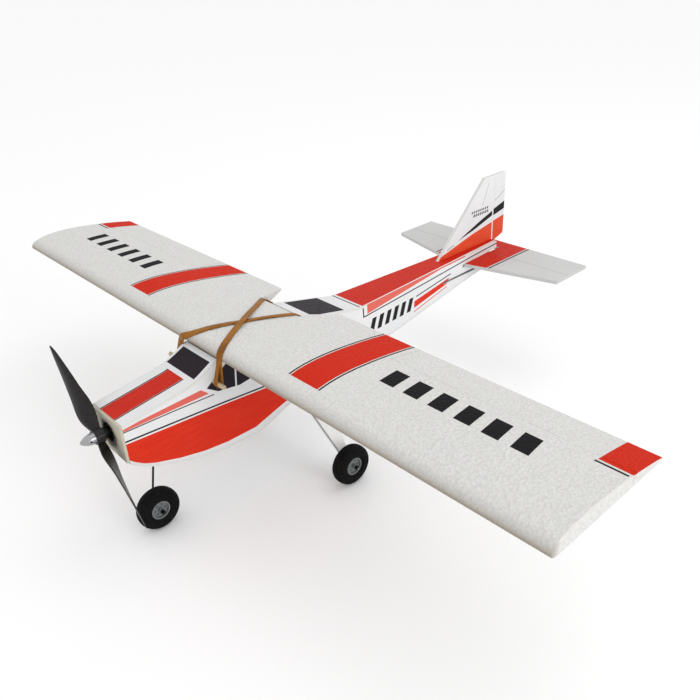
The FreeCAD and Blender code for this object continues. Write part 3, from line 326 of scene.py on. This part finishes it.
def bead_foam():
    """White moulded bead foam, with its print on the upper face."""
    paint = Paint("bead_foam")
    x, y = paint.split("place")[:2]
    nz = paint.split("normal")[2]
    side = paint.math("ABSOLUTE", x)
    dome = paint.cells(0.36, "SMOOTH_F1", 0.7)
    pits = paint.noise(0.55, 3)
    broad = paint.noise(0.012, 3)
    # The foam is painted darker in the hollows between the beads: painted shade that brings out the bead
    # relief.
    base = paint.mix(paint.ramp(dome, 0.15, 0.65), (0.73, 0.725, 0.71), (0.63, 0.625, 0.61))
    base = paint.mix(paint.ramp(broad, 0.35, 0.7, 0, 0.3), base, (0.66, 0.655, 0.63))
    # The rounded leading edge is painted darker where it faces forward and down: partly grime from handling,
    # partly painted shade.
    front = paint.both(paint.below(y, 6, 12), paint.below(nz, 0.72, 1.3))
    base = paint.mix(paint.math("MULTIPLY", front, 0.9), base, (0.31, 0.265, 0.21))
    top = paint.above(nz, 0.25, 0.1)
    masks = {"red": [], "black": []}
    # The slanting bands near the body, each with a thin line outside each edge.
    slope = (185.0 - 194.0) / 150.0
    across = paint.math("MULTIPLY_ADD", y, -slope, side)
    start = 21.0
    offset = -slope * start
    reach = paint.above(y, start)
    masks["red"].append(paint.both(paint.between(across, 148.2 + offset, 190.8 + offset), reach))
    for low, high in ((144.6, 146.8), (192.2, 194.4)):
        masks["black"].append(paint.both(paint.between(across, low + offset, high + offset), reach))
    # The blocks at the tips, each with a line ahead.
    masks["red"].append(paint.patch(side, y, [(447, 119), (481, 119), (481, 172), (447, 172)]))
    masks["black"].append(paint.patch(side, y, [(446, 113.4), (478, 113.4), (478, 116.2), (446, 116.2)]))
    # Plain bars on each half.
    masks["black"].append(paint.bars(x, y, ((223, 75), (417, 107)), 6, 0.18, 0.66))
    masks["black"].append(paint.bars(x, y, ((-413, 62), (-213, 96)), 6, 0.18, 0.52))
    # The red is painted darker in the hollows between the beads: painted shade.
    red = paint.mix(paint.ramp(dome, 0.2, 0.8), RED, RED_HOLLOW_SHADE)
    colour = paint.mix(paint.both(paint.any_of(masks["red"]), top), base, red)
    colour = paint.mix(paint.both(paint.any_of(masks["black"]), top), colour, BLACK)
    grain = paint.bump(pits, 0.0003, 0.35)
    normal = paint.bump(paint.math("MULTIPLY", dome, -1.0), 0.0015, 0.75, grain)
    return paint.shader(colour, 0.7, normal, Specular_IOR_Level=0.08)


def board_surface(paint, face):
    """White faced foam board: smooth on its faces, fine open foam on its cut edges."""
    tone = paint.noise(0.02, 3)
    base = paint.mix(paint.ramp(tone, 0.35, 0.7), (0.74, 0.74, 0.74), (0.69, 0.695, 0.705))
    pores = paint.cells(1.6)
    cut = paint.mix(paint.ramp(pores, 0.1, 0.7), (0.74, 0.74, 0.725), (0.66, 0.66, 0.645))
    base = paint.mix(face, cut, base)
    wave = paint.bump(paint.noise(0.10, 3), 0.0005, 0.12)
    grit = paint.math("MULTIPLY", pores, paint.math("SUBTRACT", 1.0, face))
    return base, paint.bump(grit, 0.0004, 0.7, wave)


def finish_board(paint, colour, normal):
    shade = paint.noise(0.5, 4, (1, 0.25, 1))
    return paint.shader(colour, paint.ramp(shade, 0.3, 0.7, 0.42, 0.58), normal, Specular_IOR_Level=0.1)


def streaked(paint, colour, dark):
    """Ink with the faint streaks of a home printer."""
    streak = paint.noise(0.35, 4, (1, 0.12, 1))
    return paint.mix(paint.ramp(streak, 0.35, 0.75), colour, dark)


def side_print():
    """Both side boards: print on the outer face."""
    paint = Paint("side_print")
    x, y, z = paint.split("place")
    nx = paint.split("normal")[0]
    outward = paint.math("MULTIPLY", nx, paint.math("SIGN", x))
    face = paint.above(outward, 0.8, 0.1)
    base, normal = board_surface(paint, paint.above(paint.math("ABSOLUTE", nx), 0.8, 0.1))
    red = streaked(paint, RED, RED_STREAK)

    # Under the cabin: the wide red band, a black line above it, and the stripes of the nose.
    band = [(-126, -54), (-64.7, -58.3), (2, -62.4), (65, -67.8), (140, -74)]
    low = [
        (-126, -79.6), (-109, -87), (-92.9, -94.6), (-62, -104.6), (-29, -112.0),
        (2, -115.4), (44.5, -115.4), (93, -101), (140, -96),
    ]
    body_red = paint.both(paint.beside(y, z, band, -140), paint.beside(y, z, low, -10))
    colour = paint.mix(paint.both(body_red, face), base, red)
    pink = paint.patch(y, z, [(-126, -35.6), (-101.3, -33.4), (-22.6, -30.5), (-12.8, -39.5), (-126, -38.0)])
    colour = paint.mix(paint.both(pink, face), colour, SOFT_RED)
    black = [
        paint.strip(y, z, [(-126, -51.0), (-60, -55.3), (2, -59.6), (140, -71)], 2.1),
        paint.strip(y, z, [(-126, -38.9), (-60, -41.0), (-6.6, -43.5)], 1.4),
    ]
    colour = paint.mix(paint.both(paint.any_of(black), face), colour, BLACK)

    # The side windows, split by white posts.
    glass = paint.any_of([
        paint.patch(y, z, [(-15, -32), (-4.7, -24.5), (-0.6, -42)]),
        paint.patch(y, z, [
            (-4.7, -24.5), (16, -10), (100, -10), (140, -12),
            (207, -23), (43, -45), (31, -47), (-0.6, -42),
        ]),
    ])
    places = ((28.5, 24), (92, 92), (150, 150))
    posts = [paint.strip(y, z, [(top, 0), (foot, -50)], 2.2) for top, foot in places]
    clear = paint.math("SUBTRACT", 1.0, paint.any_of(posts))
    colour = paint.mix(paint.both(glass, clear, face), colour, WINDOW)

    # The tail: a stripe below the deck, black lines, a red block, and plain bars.
    pink_tail = [
        paint.patch(y, z, [(248, -23), (384, -19.8), (384, -25.3), (248, -35)]),
        paint.patch(y, z, [(384, -19.8), (470, -19.6), (384, -25.3)]),
    ]
    colour = paint.mix(paint.both(paint.any_of(pink_tail), face), colour, SOFT_RED)
    line = [(241, -37.4), (384.5, -32.7), (484, -28.7), (556, -27)]
    lines = [
        paint.strip(y, z, line, 1.8),
        paint.strip(y, z, [(240, -23), (240.6, -38)], 2.2),
        paint.strip(y, z, [(352, -47.3), (434, -39.5)], 1.8),
        paint.bars(y, z, ((250, -66), (345, -46)), 6, -0.35, 0.62),
    ]
    colour = paint.mix(paint.both(paint.any_of(lines), face), colour, BLACK)
    block = [
        paint.patch(y, z, [(348, -53.5), (431, -44.4), (425, -52.6), (347, -64)]),
        paint.strip(y, z, [(347, -70.2), (425, -56.9)], 1.4),
    ]
    colour = paint.mix(paint.both(paint.any_of(block), face), colour, red)
    return finish_board(paint, colour, normal)


def deck_print():
    """The nose deck and the rear deck: print on the upper face."""
    paint = Paint("deck_print")
    x, y, z = paint.split("place")
    nx, nz = paint.split("normal")[::2]
    face = paint.above(nz, 0.6, 0.1)
    base, normal = board_surface(paint, paint.above(paint.math("ABSOLUTE", nz), 0.6, 0.1))
    side = paint.math("ABSOLUTE", x)
    red = streaked(paint, DECK_RED, DECK_RED_STREAK)
    hood = paint.below(y, -33.5)
    stripe = paint.both(paint.below(side, 15.3), hood)
    edge = paint.both(paint.between(side, 15.6, 17.6), hood)
    tail = paint.above(y, 238.5)
    colour = paint.mix(paint.both(paint.any_of([stripe, tail]), face), base, red)
    cross = paint.between(y, 232.2, 234.4)
    colour = paint.mix(paint.both(paint.any_of([edge, cross]), face), colour, BLACK)
    screen = paint.patch(side, y, [(-9, -27.5), (29.6, -27.5), (28.2, -3.0), (-9, -3.0)])
    rim = paint.both(paint.above(paint.math("ABSOLUTE", nx), 0.7, 0.1), paint.between(y, 248, 470))
    low_rim = paint.below(z, -21.2)
    colour = paint.mix(paint.both(rim, low_rim), colour, SOFT_RED)
    rear = paint.patch(side, y, [(-9, 150.4), (28.6, 150.4), (28.0, 205.6), (-9, 205.6)])
    colour = paint.mix(paint.both(paint.any_of([screen, rear]), face), colour, WINDOW)
    return finish_board(paint, colour, normal)


def fin_print():
    """Fin and rudder: print on both faces."""
    paint = Paint("fin_print")
    y, z = paint.split("place")[1:]
    nx = paint.split("normal")[0]
    face = paint.above(paint.math("ABSOLUTE", nx), 0.8, 0.1)
    base, normal = board_surface(paint, face)
    red = streaked(paint, FIN_RED, FIN_RED_STREAK)
    wedge = [
        paint.patch(y, z, [(421, -19), (427, -13.9), (501, 2.1), (548.6, 9.2), (548.6, -40), (421, -40)]),
        paint.patch(y, z, [(551.6, 10.2), (582, 14.6), (582, -40), (551.6, -40)]),
    ]
    colour = paint.mix(paint.both(paint.any_of(wedge), face), base, red)
    dark = [
        paint.patch(y, z, [
            (453, -4.6), (485, 2.8), (508, 9.0), (548.4, 17.4),
            (548.4, 27.6), (516, 17.8), (485, 7.2),
        ]),
        paint.patch(y, z, [(551.6, 19.0), (582, 25.0), (582, 37.6), (551.6, 29.6)]),
        paint.strip(y, z, [(441, -7.4), (456, -3.6)], 0.9),
        paint.strip(y, z, [(537, 75), (523, 42)], 0.5),
        paint.strip(y, z, [(553, 43), (566, 48), (579, 55.5)], 0.6),
        paint.bars(y, z, ((500, 28.5), (538, 32.5)), 7, -0.5, 0.66),
        paint.bars(y, z, ((496, 34.5), (538, 38.0)), 8, -0.5, 0.62),
    ]
    colour = paint.mix(paint.both(paint.any_of(dark), face), colour, BLACK)
    return finish_board(paint, colour, normal)


def stab_print():
    """Stabilizer and elevator: print on the upper face."""
    paint = Paint("stab_print")
    x, y = paint.split("place")[:2]
    nz = paint.split("normal")[2]
    face = paint.above(nz, 0.8, 0.1)
    base, normal = board_surface(paint, paint.above(paint.math("ABSOLUTE", nz), 0.8, 0.1))
    # The tail's board is greyer than the body's.
    base = paint.mix(0.55, base, (0.47, 0.47, 0.46))
    side = paint.math("ABSOLUTE", x)
    red = streaked(paint, DECK_RED, DECK_RED_STREAK)
    colour = paint.mix(paint.both(paint.below(side, 48.5), face), base, red)
    colour = paint.mix(paint.both(paint.between(side, 51.0, 53.6), face), colour, BLACK)
    # A painted shade line along the elevator's hinge crease.
    crease_shade = paint.both(paint.between(y, 533.4, 534.8, 0.8), face)
    colour = paint.mix(paint.math("MULTIPLY", crease_shade, 0.4), colour, (0.25, 0.24, 0.24))
    return finish_board(paint, colour, normal)


def plain_board():
    """Foam board without print."""
    paint = Paint("plain_board")
    nz = paint.split("normal")[2]
    base, normal = board_surface(paint, paint.above(paint.math("ABSOLUTE", nz), 0.55, 0.1))
    return finish_board(paint, base, normal)


def wood(name, light, dark, stretch, rings=0.10):
    """Bare timber: long grain, fine pores and a little unevenness."""
    paint = Paint(name)
    grain = paint.noise(rings, 6, stretch, 0.65)
    fine = paint.noise(1.2, 4, stretch)
    colour = paint.mix(paint.ramp(grain, 0.3, 0.7), light, dark)
    colour = paint.mix(paint.ramp(fine, 0.5, 0.8, 0, 0.5), colour, tuple(c * 0.7 for c in dark))
    return paint.shader(colour, 0.62, paint.bump(fine, 0.0002, 0.5), Specular_IOR_Level=0.3)


def nose_ring_wood():
    """The nose ring: pale plywood, darkened round its opening partly by smoke staining and partly by a
    painted shadow of the propeller hub.
    """
    paint = Paint("nose_ring_wood")
    x, z = paint.split("place")[::2]
    low, high = (Vector(corner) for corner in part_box("spinner_nut"))
    axis_z = ((low.z + high.z) / 2 - DATUM.z) * 1000
    rise = paint.math("SUBTRACT", z, axis_z - 3)
    square = paint.math("ADD", paint.math("MULTIPLY", x, x), paint.math("MULTIPLY", rise, rise))
    radius = paint.math("SQRT", square)
    wobble = paint.math("MULTIPLY_ADD", paint.noise(0.16, 4), 9.0, paint.math("SUBTRACT", radius, 4.5))
    grain = paint.noise(0.2, 5, (0.2, 1, 1), 0.6)
    colour = paint.mix(paint.ramp(grain, 0.3, 0.7), (0.56, 0.53, 0.43), (0.46, 0.43, 0.34))
    # Round the opening the wood is darkened: partly smoke staining, partly painted shade and shadow of the
    # propeller hub.
    haze_and_hub_shade = paint.ramp(wobble, 16, 27, 0.55, 0.0)
    colour = paint.mix(haze_and_hub_shade, colour, (0.16, 0.13, 0.10))
    smoke_and_hub_shadow = paint.ramp(wobble, 14.5, 19.0, 1.0, 0.0)
    colour = paint.mix(smoke_and_hub_shadow, colour, (0.022, 0.017, 0.014))
    return paint.shader(colour, 0.6, paint.bump(grain, 0.0002, 0.4), Specular_IOR_Level=0.15)


def plastic(name, colour, roughness, variation=0.06, grain=0.6, **constants):
    """Moulded plastic with a fine eggshell surface and slight wear."""
    paint = Paint(name)
    broad = paint.noise(0.06, 3)
    fine = paint.noise(2.2, 3)
    lighter = tuple(min(1.0, c * (1 + variation) + 0.01) for c in colour)
    tone = paint.mix(paint.ramp(broad, 0.3, 0.7), colour, lighter)
    rough = paint.ramp(fine, 0.3, 0.7, roughness - 0.06, roughness + 0.08)
    return paint.shader(tone, rough, paint.bump(fine, 0.00012, grain), **constants)


def metal(name, colour, roughness, stretch=(1, 1, 1), scale=1.5, **constants):
    """Bare metal with the fine lines of turning or drawing."""
    paint = Paint(name)
    lines = paint.noise(scale, 4, stretch, 0.7)
    stain = paint.noise(0.12, 3)
    tone = paint.mix(paint.ramp(stain, 0.35, 0.7), colour, tuple(c * 0.82 for c in colour))
    rough = paint.ramp(lines, 0.3, 0.7, roughness - 0.05, roughness + 0.10)
    return paint.shader(tone, rough, paint.bump(lines, 0.00008, 0.5), Metallic=1.0, **constants)


def carbon():
    """A pultruded carbon tube: dark, glossy, with lines along it."""
    paint = Paint("carbon_tube")
    lines = paint.noise(3.0, 3, (0.05, 1, 1))
    tone = paint.mix(paint.ramp(lines, 0.35, 0.65), (0.012, 0.012, 0.013), (0.045, 0.045, 0.048))
    return paint.shader(tone, 0.25, paint.bump(lines, 0.00005, 0.4), Coat_Weight=0.5)


def tyre_foam():
    """Matt black foam rubber with fine open pores and scuffed tread."""
    paint = Paint("tyre_foam")
    pores = paint.cells(1.4)
    scuff = paint.noise(0.25, 5)
    tone = paint.mix(paint.ramp(scuff, 0.45, 0.75), (0.004, 0.004, 0.004), (0.011, 0.011, 0.010))
    normal = paint.bump(pores, 0.0003, 0.35, paint.bump(scuff, 0.0004, 0.25))
    return paint.shader(tone, paint.ramp(scuff, 0.3, 0.7, 0.72, 0.88), normal, Specular_IOR_Level=0.08)


def prop_plastic():
    """Glossy fibre-filled nylon with faint flow lines along the blades."""
    paint = Paint("prop_plastic")
    flow = paint.noise(0.35, 4, (1, 1, 0.4), 0.6)
    fine = paint.noise(2.0, 2)
    tone = paint.mix(paint.ramp(flow, 0.35, 0.7), (0.010, 0.009, 0.009), (0.019, 0.016, 0.016))
    rough = paint.ramp(flow, 0.3, 0.7, 0.26, 0.36)
    return paint.shader(tone, rough, paint.bump(fine, 0.00006, 0.4), Specular_IOR_Level=0.22)


def amber_rubber():
    """Natural rubber: amber, dusty along its middle."""
    paint = Paint("amber_rubber")
    dust = paint.noise(0.4, 4, (1, 0.3, 1))
    deep = paint.noise(0.05, 2)
    tone = paint.mix(paint.ramp(deep, 0.3, 0.7), (0.33, 0.125, 0.008), (0.20, 0.068, 0.004))
    tone = paint.mix(paint.ramp(dust, 0.45, 0.8, 0, 0.2), tone, (0.40, 0.17, 0.02))
    rough = paint.ramp(dust, 0.3, 0.7, 0.32, 0.5)
    return paint.shader(tone, rough, paint.bump(dust, 0.0002, 0.3), Specular_IOR_Level=0.15)


def windings():
    """Enamelled copper wire: close rings along each pole."""
    paint = Paint("copper_windings")
    y = paint.split("place")[1]
    rings = paint.math("SINE", paint.math("MULTIPLY", y, 9.0))
    tone = paint.mix(paint.ramp(rings, -1, 1), (0.36, 0.12, 0.04), (0.62, 0.27, 0.10))
    return paint.shader(tone, 0.3, paint.bump(rings, 0.0002, 0.6), Metallic=0.8)


def strap_weave():
    """Dark woven nylon with ribs across its length."""
    paint = Paint("strap_weave")
    y = paint.split("place")[1]
    ribs = paint.math("SINE", paint.math("MULTIPLY", y, 7.0))
    fuzz = paint.noise(1.6, 4)
    tone = paint.mix(paint.ramp(fuzz, 0.3, 0.7), (0.012, 0.012, 0.014), (0.035, 0.035, 0.04))
    return paint.shader(tone, 0.85, paint.bump(ribs, 0.0003, 0.6), Sheen_Weight=0.3)


MATERIALS = {}


def build_materials():
    made = MATERIALS
    made["beads"] = bead_foam()
    made["side"] = side_print()
    made["deck"] = deck_print()
    made["fin"] = fin_print()
    made["stab"] = stab_print()
    made["board"] = plain_board()
    made["plywood"] = wood("plywood", (0.62, 0.46, 0.28), (0.50, 0.34, 0.18), (1, 0.12, 1))
    made["ring"] = nose_ring_wood()
    made["dowel"] = wood("dowel_wood", (0.60, 0.50, 0.34), (0.48, 0.37, 0.22), (0.10, 1, 1), 0.5)
    made["carbon"] = carbon()
    made["white"] = plastic("white_nylon", (0.80, 0.80, 0.79), 0.42)
    made["cap"] = plastic("cap_nylon", (0.66, 0.66, 0.65), 0.45)
    made["grey"] = plastic("hub_plastic", (0.15, 0.16, 0.162), 0.5)
    made["case"] = plastic("servo_case", (0.012, 0.035, 0.20), 0.28, Coat_Weight=0.3)
    made["black"] = plastic("black_case", (0.02, 0.02, 0.022), 0.4)
    made["shrink"] = plastic("shrink_sleeve", (0.03, 0.10, 0.36), 0.25, grain=1.0, Coat_Weight=0.4)
    made["aluminium"] = metal("turned_aluminium", (0.42, 0.42, 0.43), 0.16, (1, 6, 1), 0.8)
    made["can"] = metal("anodised_can", (0.72, 0.50, 0.16), 0.28, (1, 6, 1), 0.8)
    made["wire"] = metal("drawn_wire", (0.45, 0.45, 0.46), 0.30, (0.3, 0.3, 0.3), 2.0)
    made["dark_wire"] = metal("blackened_wire", (0.022, 0.022, 0.023), 0.38, (0.3, 0.3, 0.3), 2.0)
    made["rod"] = metal("pushrod_wire", (0.16, 0.16, 0.17), 0.34, (1, 0.1, 1), 2.0)
    made["screw"] = metal("plated_screw", (0.42, 0.42, 0.43), 0.3, (1, 1, 1), 2.0)
    made["tyre"] = tyre_foam()
    made["prop"] = prop_plastic()
    made["rubber"] = amber_rubber()
    made["copper"] = windings()
    made["strap"] = strap_weave()


NODE_MATERIALS = {
    "beads": ["wing", "aileron_port", "aileron_starboard"],
    "cap": ["wing_caps"],
    "side": ["fuselage_side_port", "fuselage_side_starboard"],
    "deck": ["nose_deck", "rear_deck"],
    "fin": ["fin", "rudder"],
    "stab": ["stabilizer", "elevator"],
    "board": ["fuselage_bottom"],
    "plywood": ["firewall", "formers", "battery_tray", "radio_tray", "servo_tray", "gear_blocks"],
    "ring": ["nose_ring"],
    "dowel": ["wing_dowels"],
    "carbon": ["wing_spar"],
    "white": [
        "gear_fairings", "gear_saddles", "elevator_servo_arm", "rudder_servo_arm",
        "aileron_servo_arm_port", "aileron_servo_arm_starboard", "elevator_horn", "rudder_horn",
        "aileron_horn_port", "aileron_horn_starboard",
    ],
    "grey": ["wheel_hub_nose", "wheel_hub_port", "wheel_hub_starboard"],
    "case": ["tail_servos", "aileron_servos"],
    "black": ["receiver"],
    "shrink": ["battery", "speed_controller"],
    "aluminium": ["motor_mount", "spinner_nut"],
    "can": ["motor_bell"],
    "wire": ["main_gear_wire"],
    "dark_wire": ["nose_gear_wire", "wheel_collars", "prop_adapter"],
    "rod": ["elevator_pushrod", "rudder_pushrod", "aileron_pushrod_port", "aileron_pushrod_starboard"],
    "screw": ["motor_screws", "gear_screws"],
    "tyre": ["tyre_nose", "tyre_port", "tyre_starboard"],
    "prop": ["propeller"],
    "copper": ["motor_stator"],
    "strap": ["battery_strap"],
}


def dress_nodes():
    for key, names in NODE_MATERIALS.items():
        for name in names:
            obj = NODES[name]
            if not obj.material_slots:
                obj.data.materials.append(MATERIALS[key])
            for slot in obj.material_slots:
                slot.material = MATERIALS[key]


# Pieces made here


def new_piece(name, mesh, body, material):
    obj = bpy.data.objects.new(name, mesh)
    bpy.context.collection.objects.link(obj)
    mesh.materials.append(MATERIALS[material])
    for polygon in mesh.polygons:
        polygon.use_smooth = True
    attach(obj, body)
    return obj


WING_FRONT_HEIGHT = 6
WING_REAR_HEIGHT = 3
WING_CROWN = 14.9


def wing_top(y):
    """Height of the wing's top, in millimetres from the datum."""
    s = y / CHORD
    bow = 10 * (0.2969 * math.sqrt(s) - 0.126 * s - 0.3516 * s**2 + 0.2843 * s**3 - 0.1015 * s**4)
    return WING_FRONT_HEIGHT * (1 - s) + WING_REAR_HEIGHT * s + WING_CROWN * bow


# The rubber bands: two closed loops of flat rubber, each with two strands side by side


BAND_HALF_WIDTH = 3.3
BAND_SPREAD = 1.8
BAND_THICKNESS = 1.0
BAND_GAP = 0.4
BAND_ROUND_OFF = 0.22
# Where the loops cross, and how far to each side the upper one is lifted.
CROSSING_Y = 60
CROSSING_REACH = 36
PORT_LIFT = 2.6
# The two dowels' places, as (y, z), from the corners of the box round both.
DOWEL_RADIUS = 2.75
DOWELS_LOW, DOWELS_HIGH = ((Vector(corner) - DATUM) * 1000 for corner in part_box("wing_dowels"))
FRONT_DOWEL = (DOWELS_LOW.y + DOWEL_RADIUS, DOWELS_LOW.z + DOWEL_RADIUS)
REAR_DOWEL = (DOWELS_HIGH.y - DOWEL_RADIUS, DOWELS_HIGH.z - DOWEL_RADIUS)
# Where each half turn below a dowel starts, and how far it turns, in degrees.
FRONT_TURN = (190, 172)
REAR_TURN = (-8, -174)
# The bevel behind the wing's middle, as two (y, z) places.
BEVEL = ((120.0, wing_top(120.0)), (135.0, 1.5))
# Each loop's way over the wing, as (y, x) places from front to rear.
TRACKS = {
    "port": [(-7, 42), (0, 46), (58, 14), (120, -32), (135, -37.2), (150, -41)],
    "starboard": [
        (-7, -41), (-1.5, -38), (0, -31.5), (1.2, -26), (4, -19.5), (12, -11.5),
        (30, -0.5), (58, 14), (120, 32.5), (135, 37.2), (150, 41),
    ],
}


def between_knots(knots, value):
    """The value of a run of (place, value) knots at a place between them."""
    for (a, p), (b, q) in zip(knots, knots[1:]):
        if value <= b:
            return p + (q - p) * max(0.0, (value - a) / (b - a))
    return knots[-1][1]


def held_height(y):
    """Height of the surface under the bands: the wing's top, then the bevel."""
    (y0, z0), (y1, z1) = BEVEL
    return wing_top(y) if y < y0 else z0 + (z1 - z0) * (y - y0) / (y1 - y0)


def held_normal(y):
    """The direction that faces away from the surface under the bands."""
    step = min(0.3, y)
    rise = held_height(y + step) - held_height(y - step)
    return Vector((0, -rise, 2 * step)).normalized()


def strand(track, side, lift):
    """One strand's middle line over the wing, in millimetres from the datum, from front to rear."""
    spread = [(2, BAND_SPREAD), (50, 0.8), (136, 0.6), (150, BAND_SPREAD)]
    line = []
    stations = [0.25, 0.6, 1.2, 2.2, 3.6, 5.5] + [8 + 5.5 * i for i in range(21)]
    for y in stations + [121.5, 126.0, 131.0, 134.6]:
        apart = between_knots(spread, y)
        stacked = 1.1 * (BAND_SPREAD - apart) / 2 if side > 0 else 0.0
        over = stacked + lift * max(0.0, 1 - abs(y - CROSSING_Y) / CROSSING_REACH)
        normal = held_normal(y)
        x = between_knots(track, y) + side * apart
        line.append(Vector((x, y, held_height(y))) + normal * (BAND_GAP + BAND_THICKNESS / 2 + over))
    line.append(Vector((between_knots(track, 136) + side * 0.5, 136.3 + 0.9 * (side > 0), 0.6)))
    return line


def dowel_bend(place, start_and_turn, x_from, x_to):
    """The band's half turn below a dowel, from one side of it to the other."""
    start, turn = start_and_turn
    radius = DOWEL_RADIUS + 0.1 + BAND_THICKNESS / 2
    bend = []
    steps = 14
    for i in range(steps + 1):
        angle = math.radians(start + turn * i / steps)
        share = 0.5 - 0.5 * math.cos(math.pi * i / steps)
        bend.append(Vector((
            x_from + (x_to - x_from) * share,
            place[0] + radius * math.cos(angle),
            place[1] + radius * math.sin(angle),
        )))
    return bend


def loop_path(track, lift):
    """A loop's middle line: over the wing, round the front dowel, back, and round the rear dowel."""
    first = strand(track, -1, lift)
    second = strand(track, 1, lift)
    front_x = between_knots(track, -7)
    rear_x = between_knots(track, 150)
    front = dowel_bend(FRONT_DOWEL, FRONT_TURN, front_x - BAND_SPREAD, front_x + BAND_SPREAD)
    rear = dowel_bend(REAR_DOWEL, REAR_TURN, rear_x + BAND_SPREAD, rear_x - BAND_SPREAD)
    nose = []
    for side in (-1, 1):
        x = between_knots(track, -0.9) + side * BAND_SPREAD
        nose.append(Vector((x, -1.0, 1.5)))
    return first[::-1] + [nose[0]] + front + [nose[1]] + second + rear


def rubber_loop(name, track, lift):
    """A closed loop of flat rubber, swept along its middle line."""
    path = loop_path(track, lift)
    half, deep, round_off = BAND_HALF_WIDTH, BAND_THICKNESS / 2, BAND_ROUND_OFF
    outline = [
        (-half, -deep + round_off), (-half + round_off, -deep),
        (half - round_off, -deep), (half, -deep + round_off),
        (half, deep - round_off), (half - round_off, deep),
        (-half + round_off, deep), (-half, deep - round_off),
    ]
    points = []
    count = len(path)
    for i, place in enumerate(path):
        ahead = (path[(i + 1) % count] - path[i - 1]).normalized()
        across = Vector((1, 0, 0))
        across = (across - ahead * across.dot(ahead)).normalized()
        rise = ahead.cross(across)
        for u, v in outline:
            points.append(at(*(place + across * u + rise * v)))
    size = len(outline)
    faces = []
    for i in range(count):
        for k in range(size):
            low, high = i * size, ((i + 1) % count) * size
            faces.append((low + k, low + (k + 1) % size, high + (k + 1) % size, high + k))
    mesh = bpy.data.meshes.new(name)
    mesh.from_pydata(points, [], faces)
    mesh.validate()
    loop = new_piece(name, mesh, "airframe", "rubber")
    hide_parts("rubber_bands")


def main():
    build_materials()
    dress_nodes()
    rubber_loop("rubber_loop_port", TRACKS["port"], PORT_LIFT)
    rubber_loop("rubber_loop_starboard", TRACKS["starboard"], 0.0)
    aim_camera()
    studio()


main()
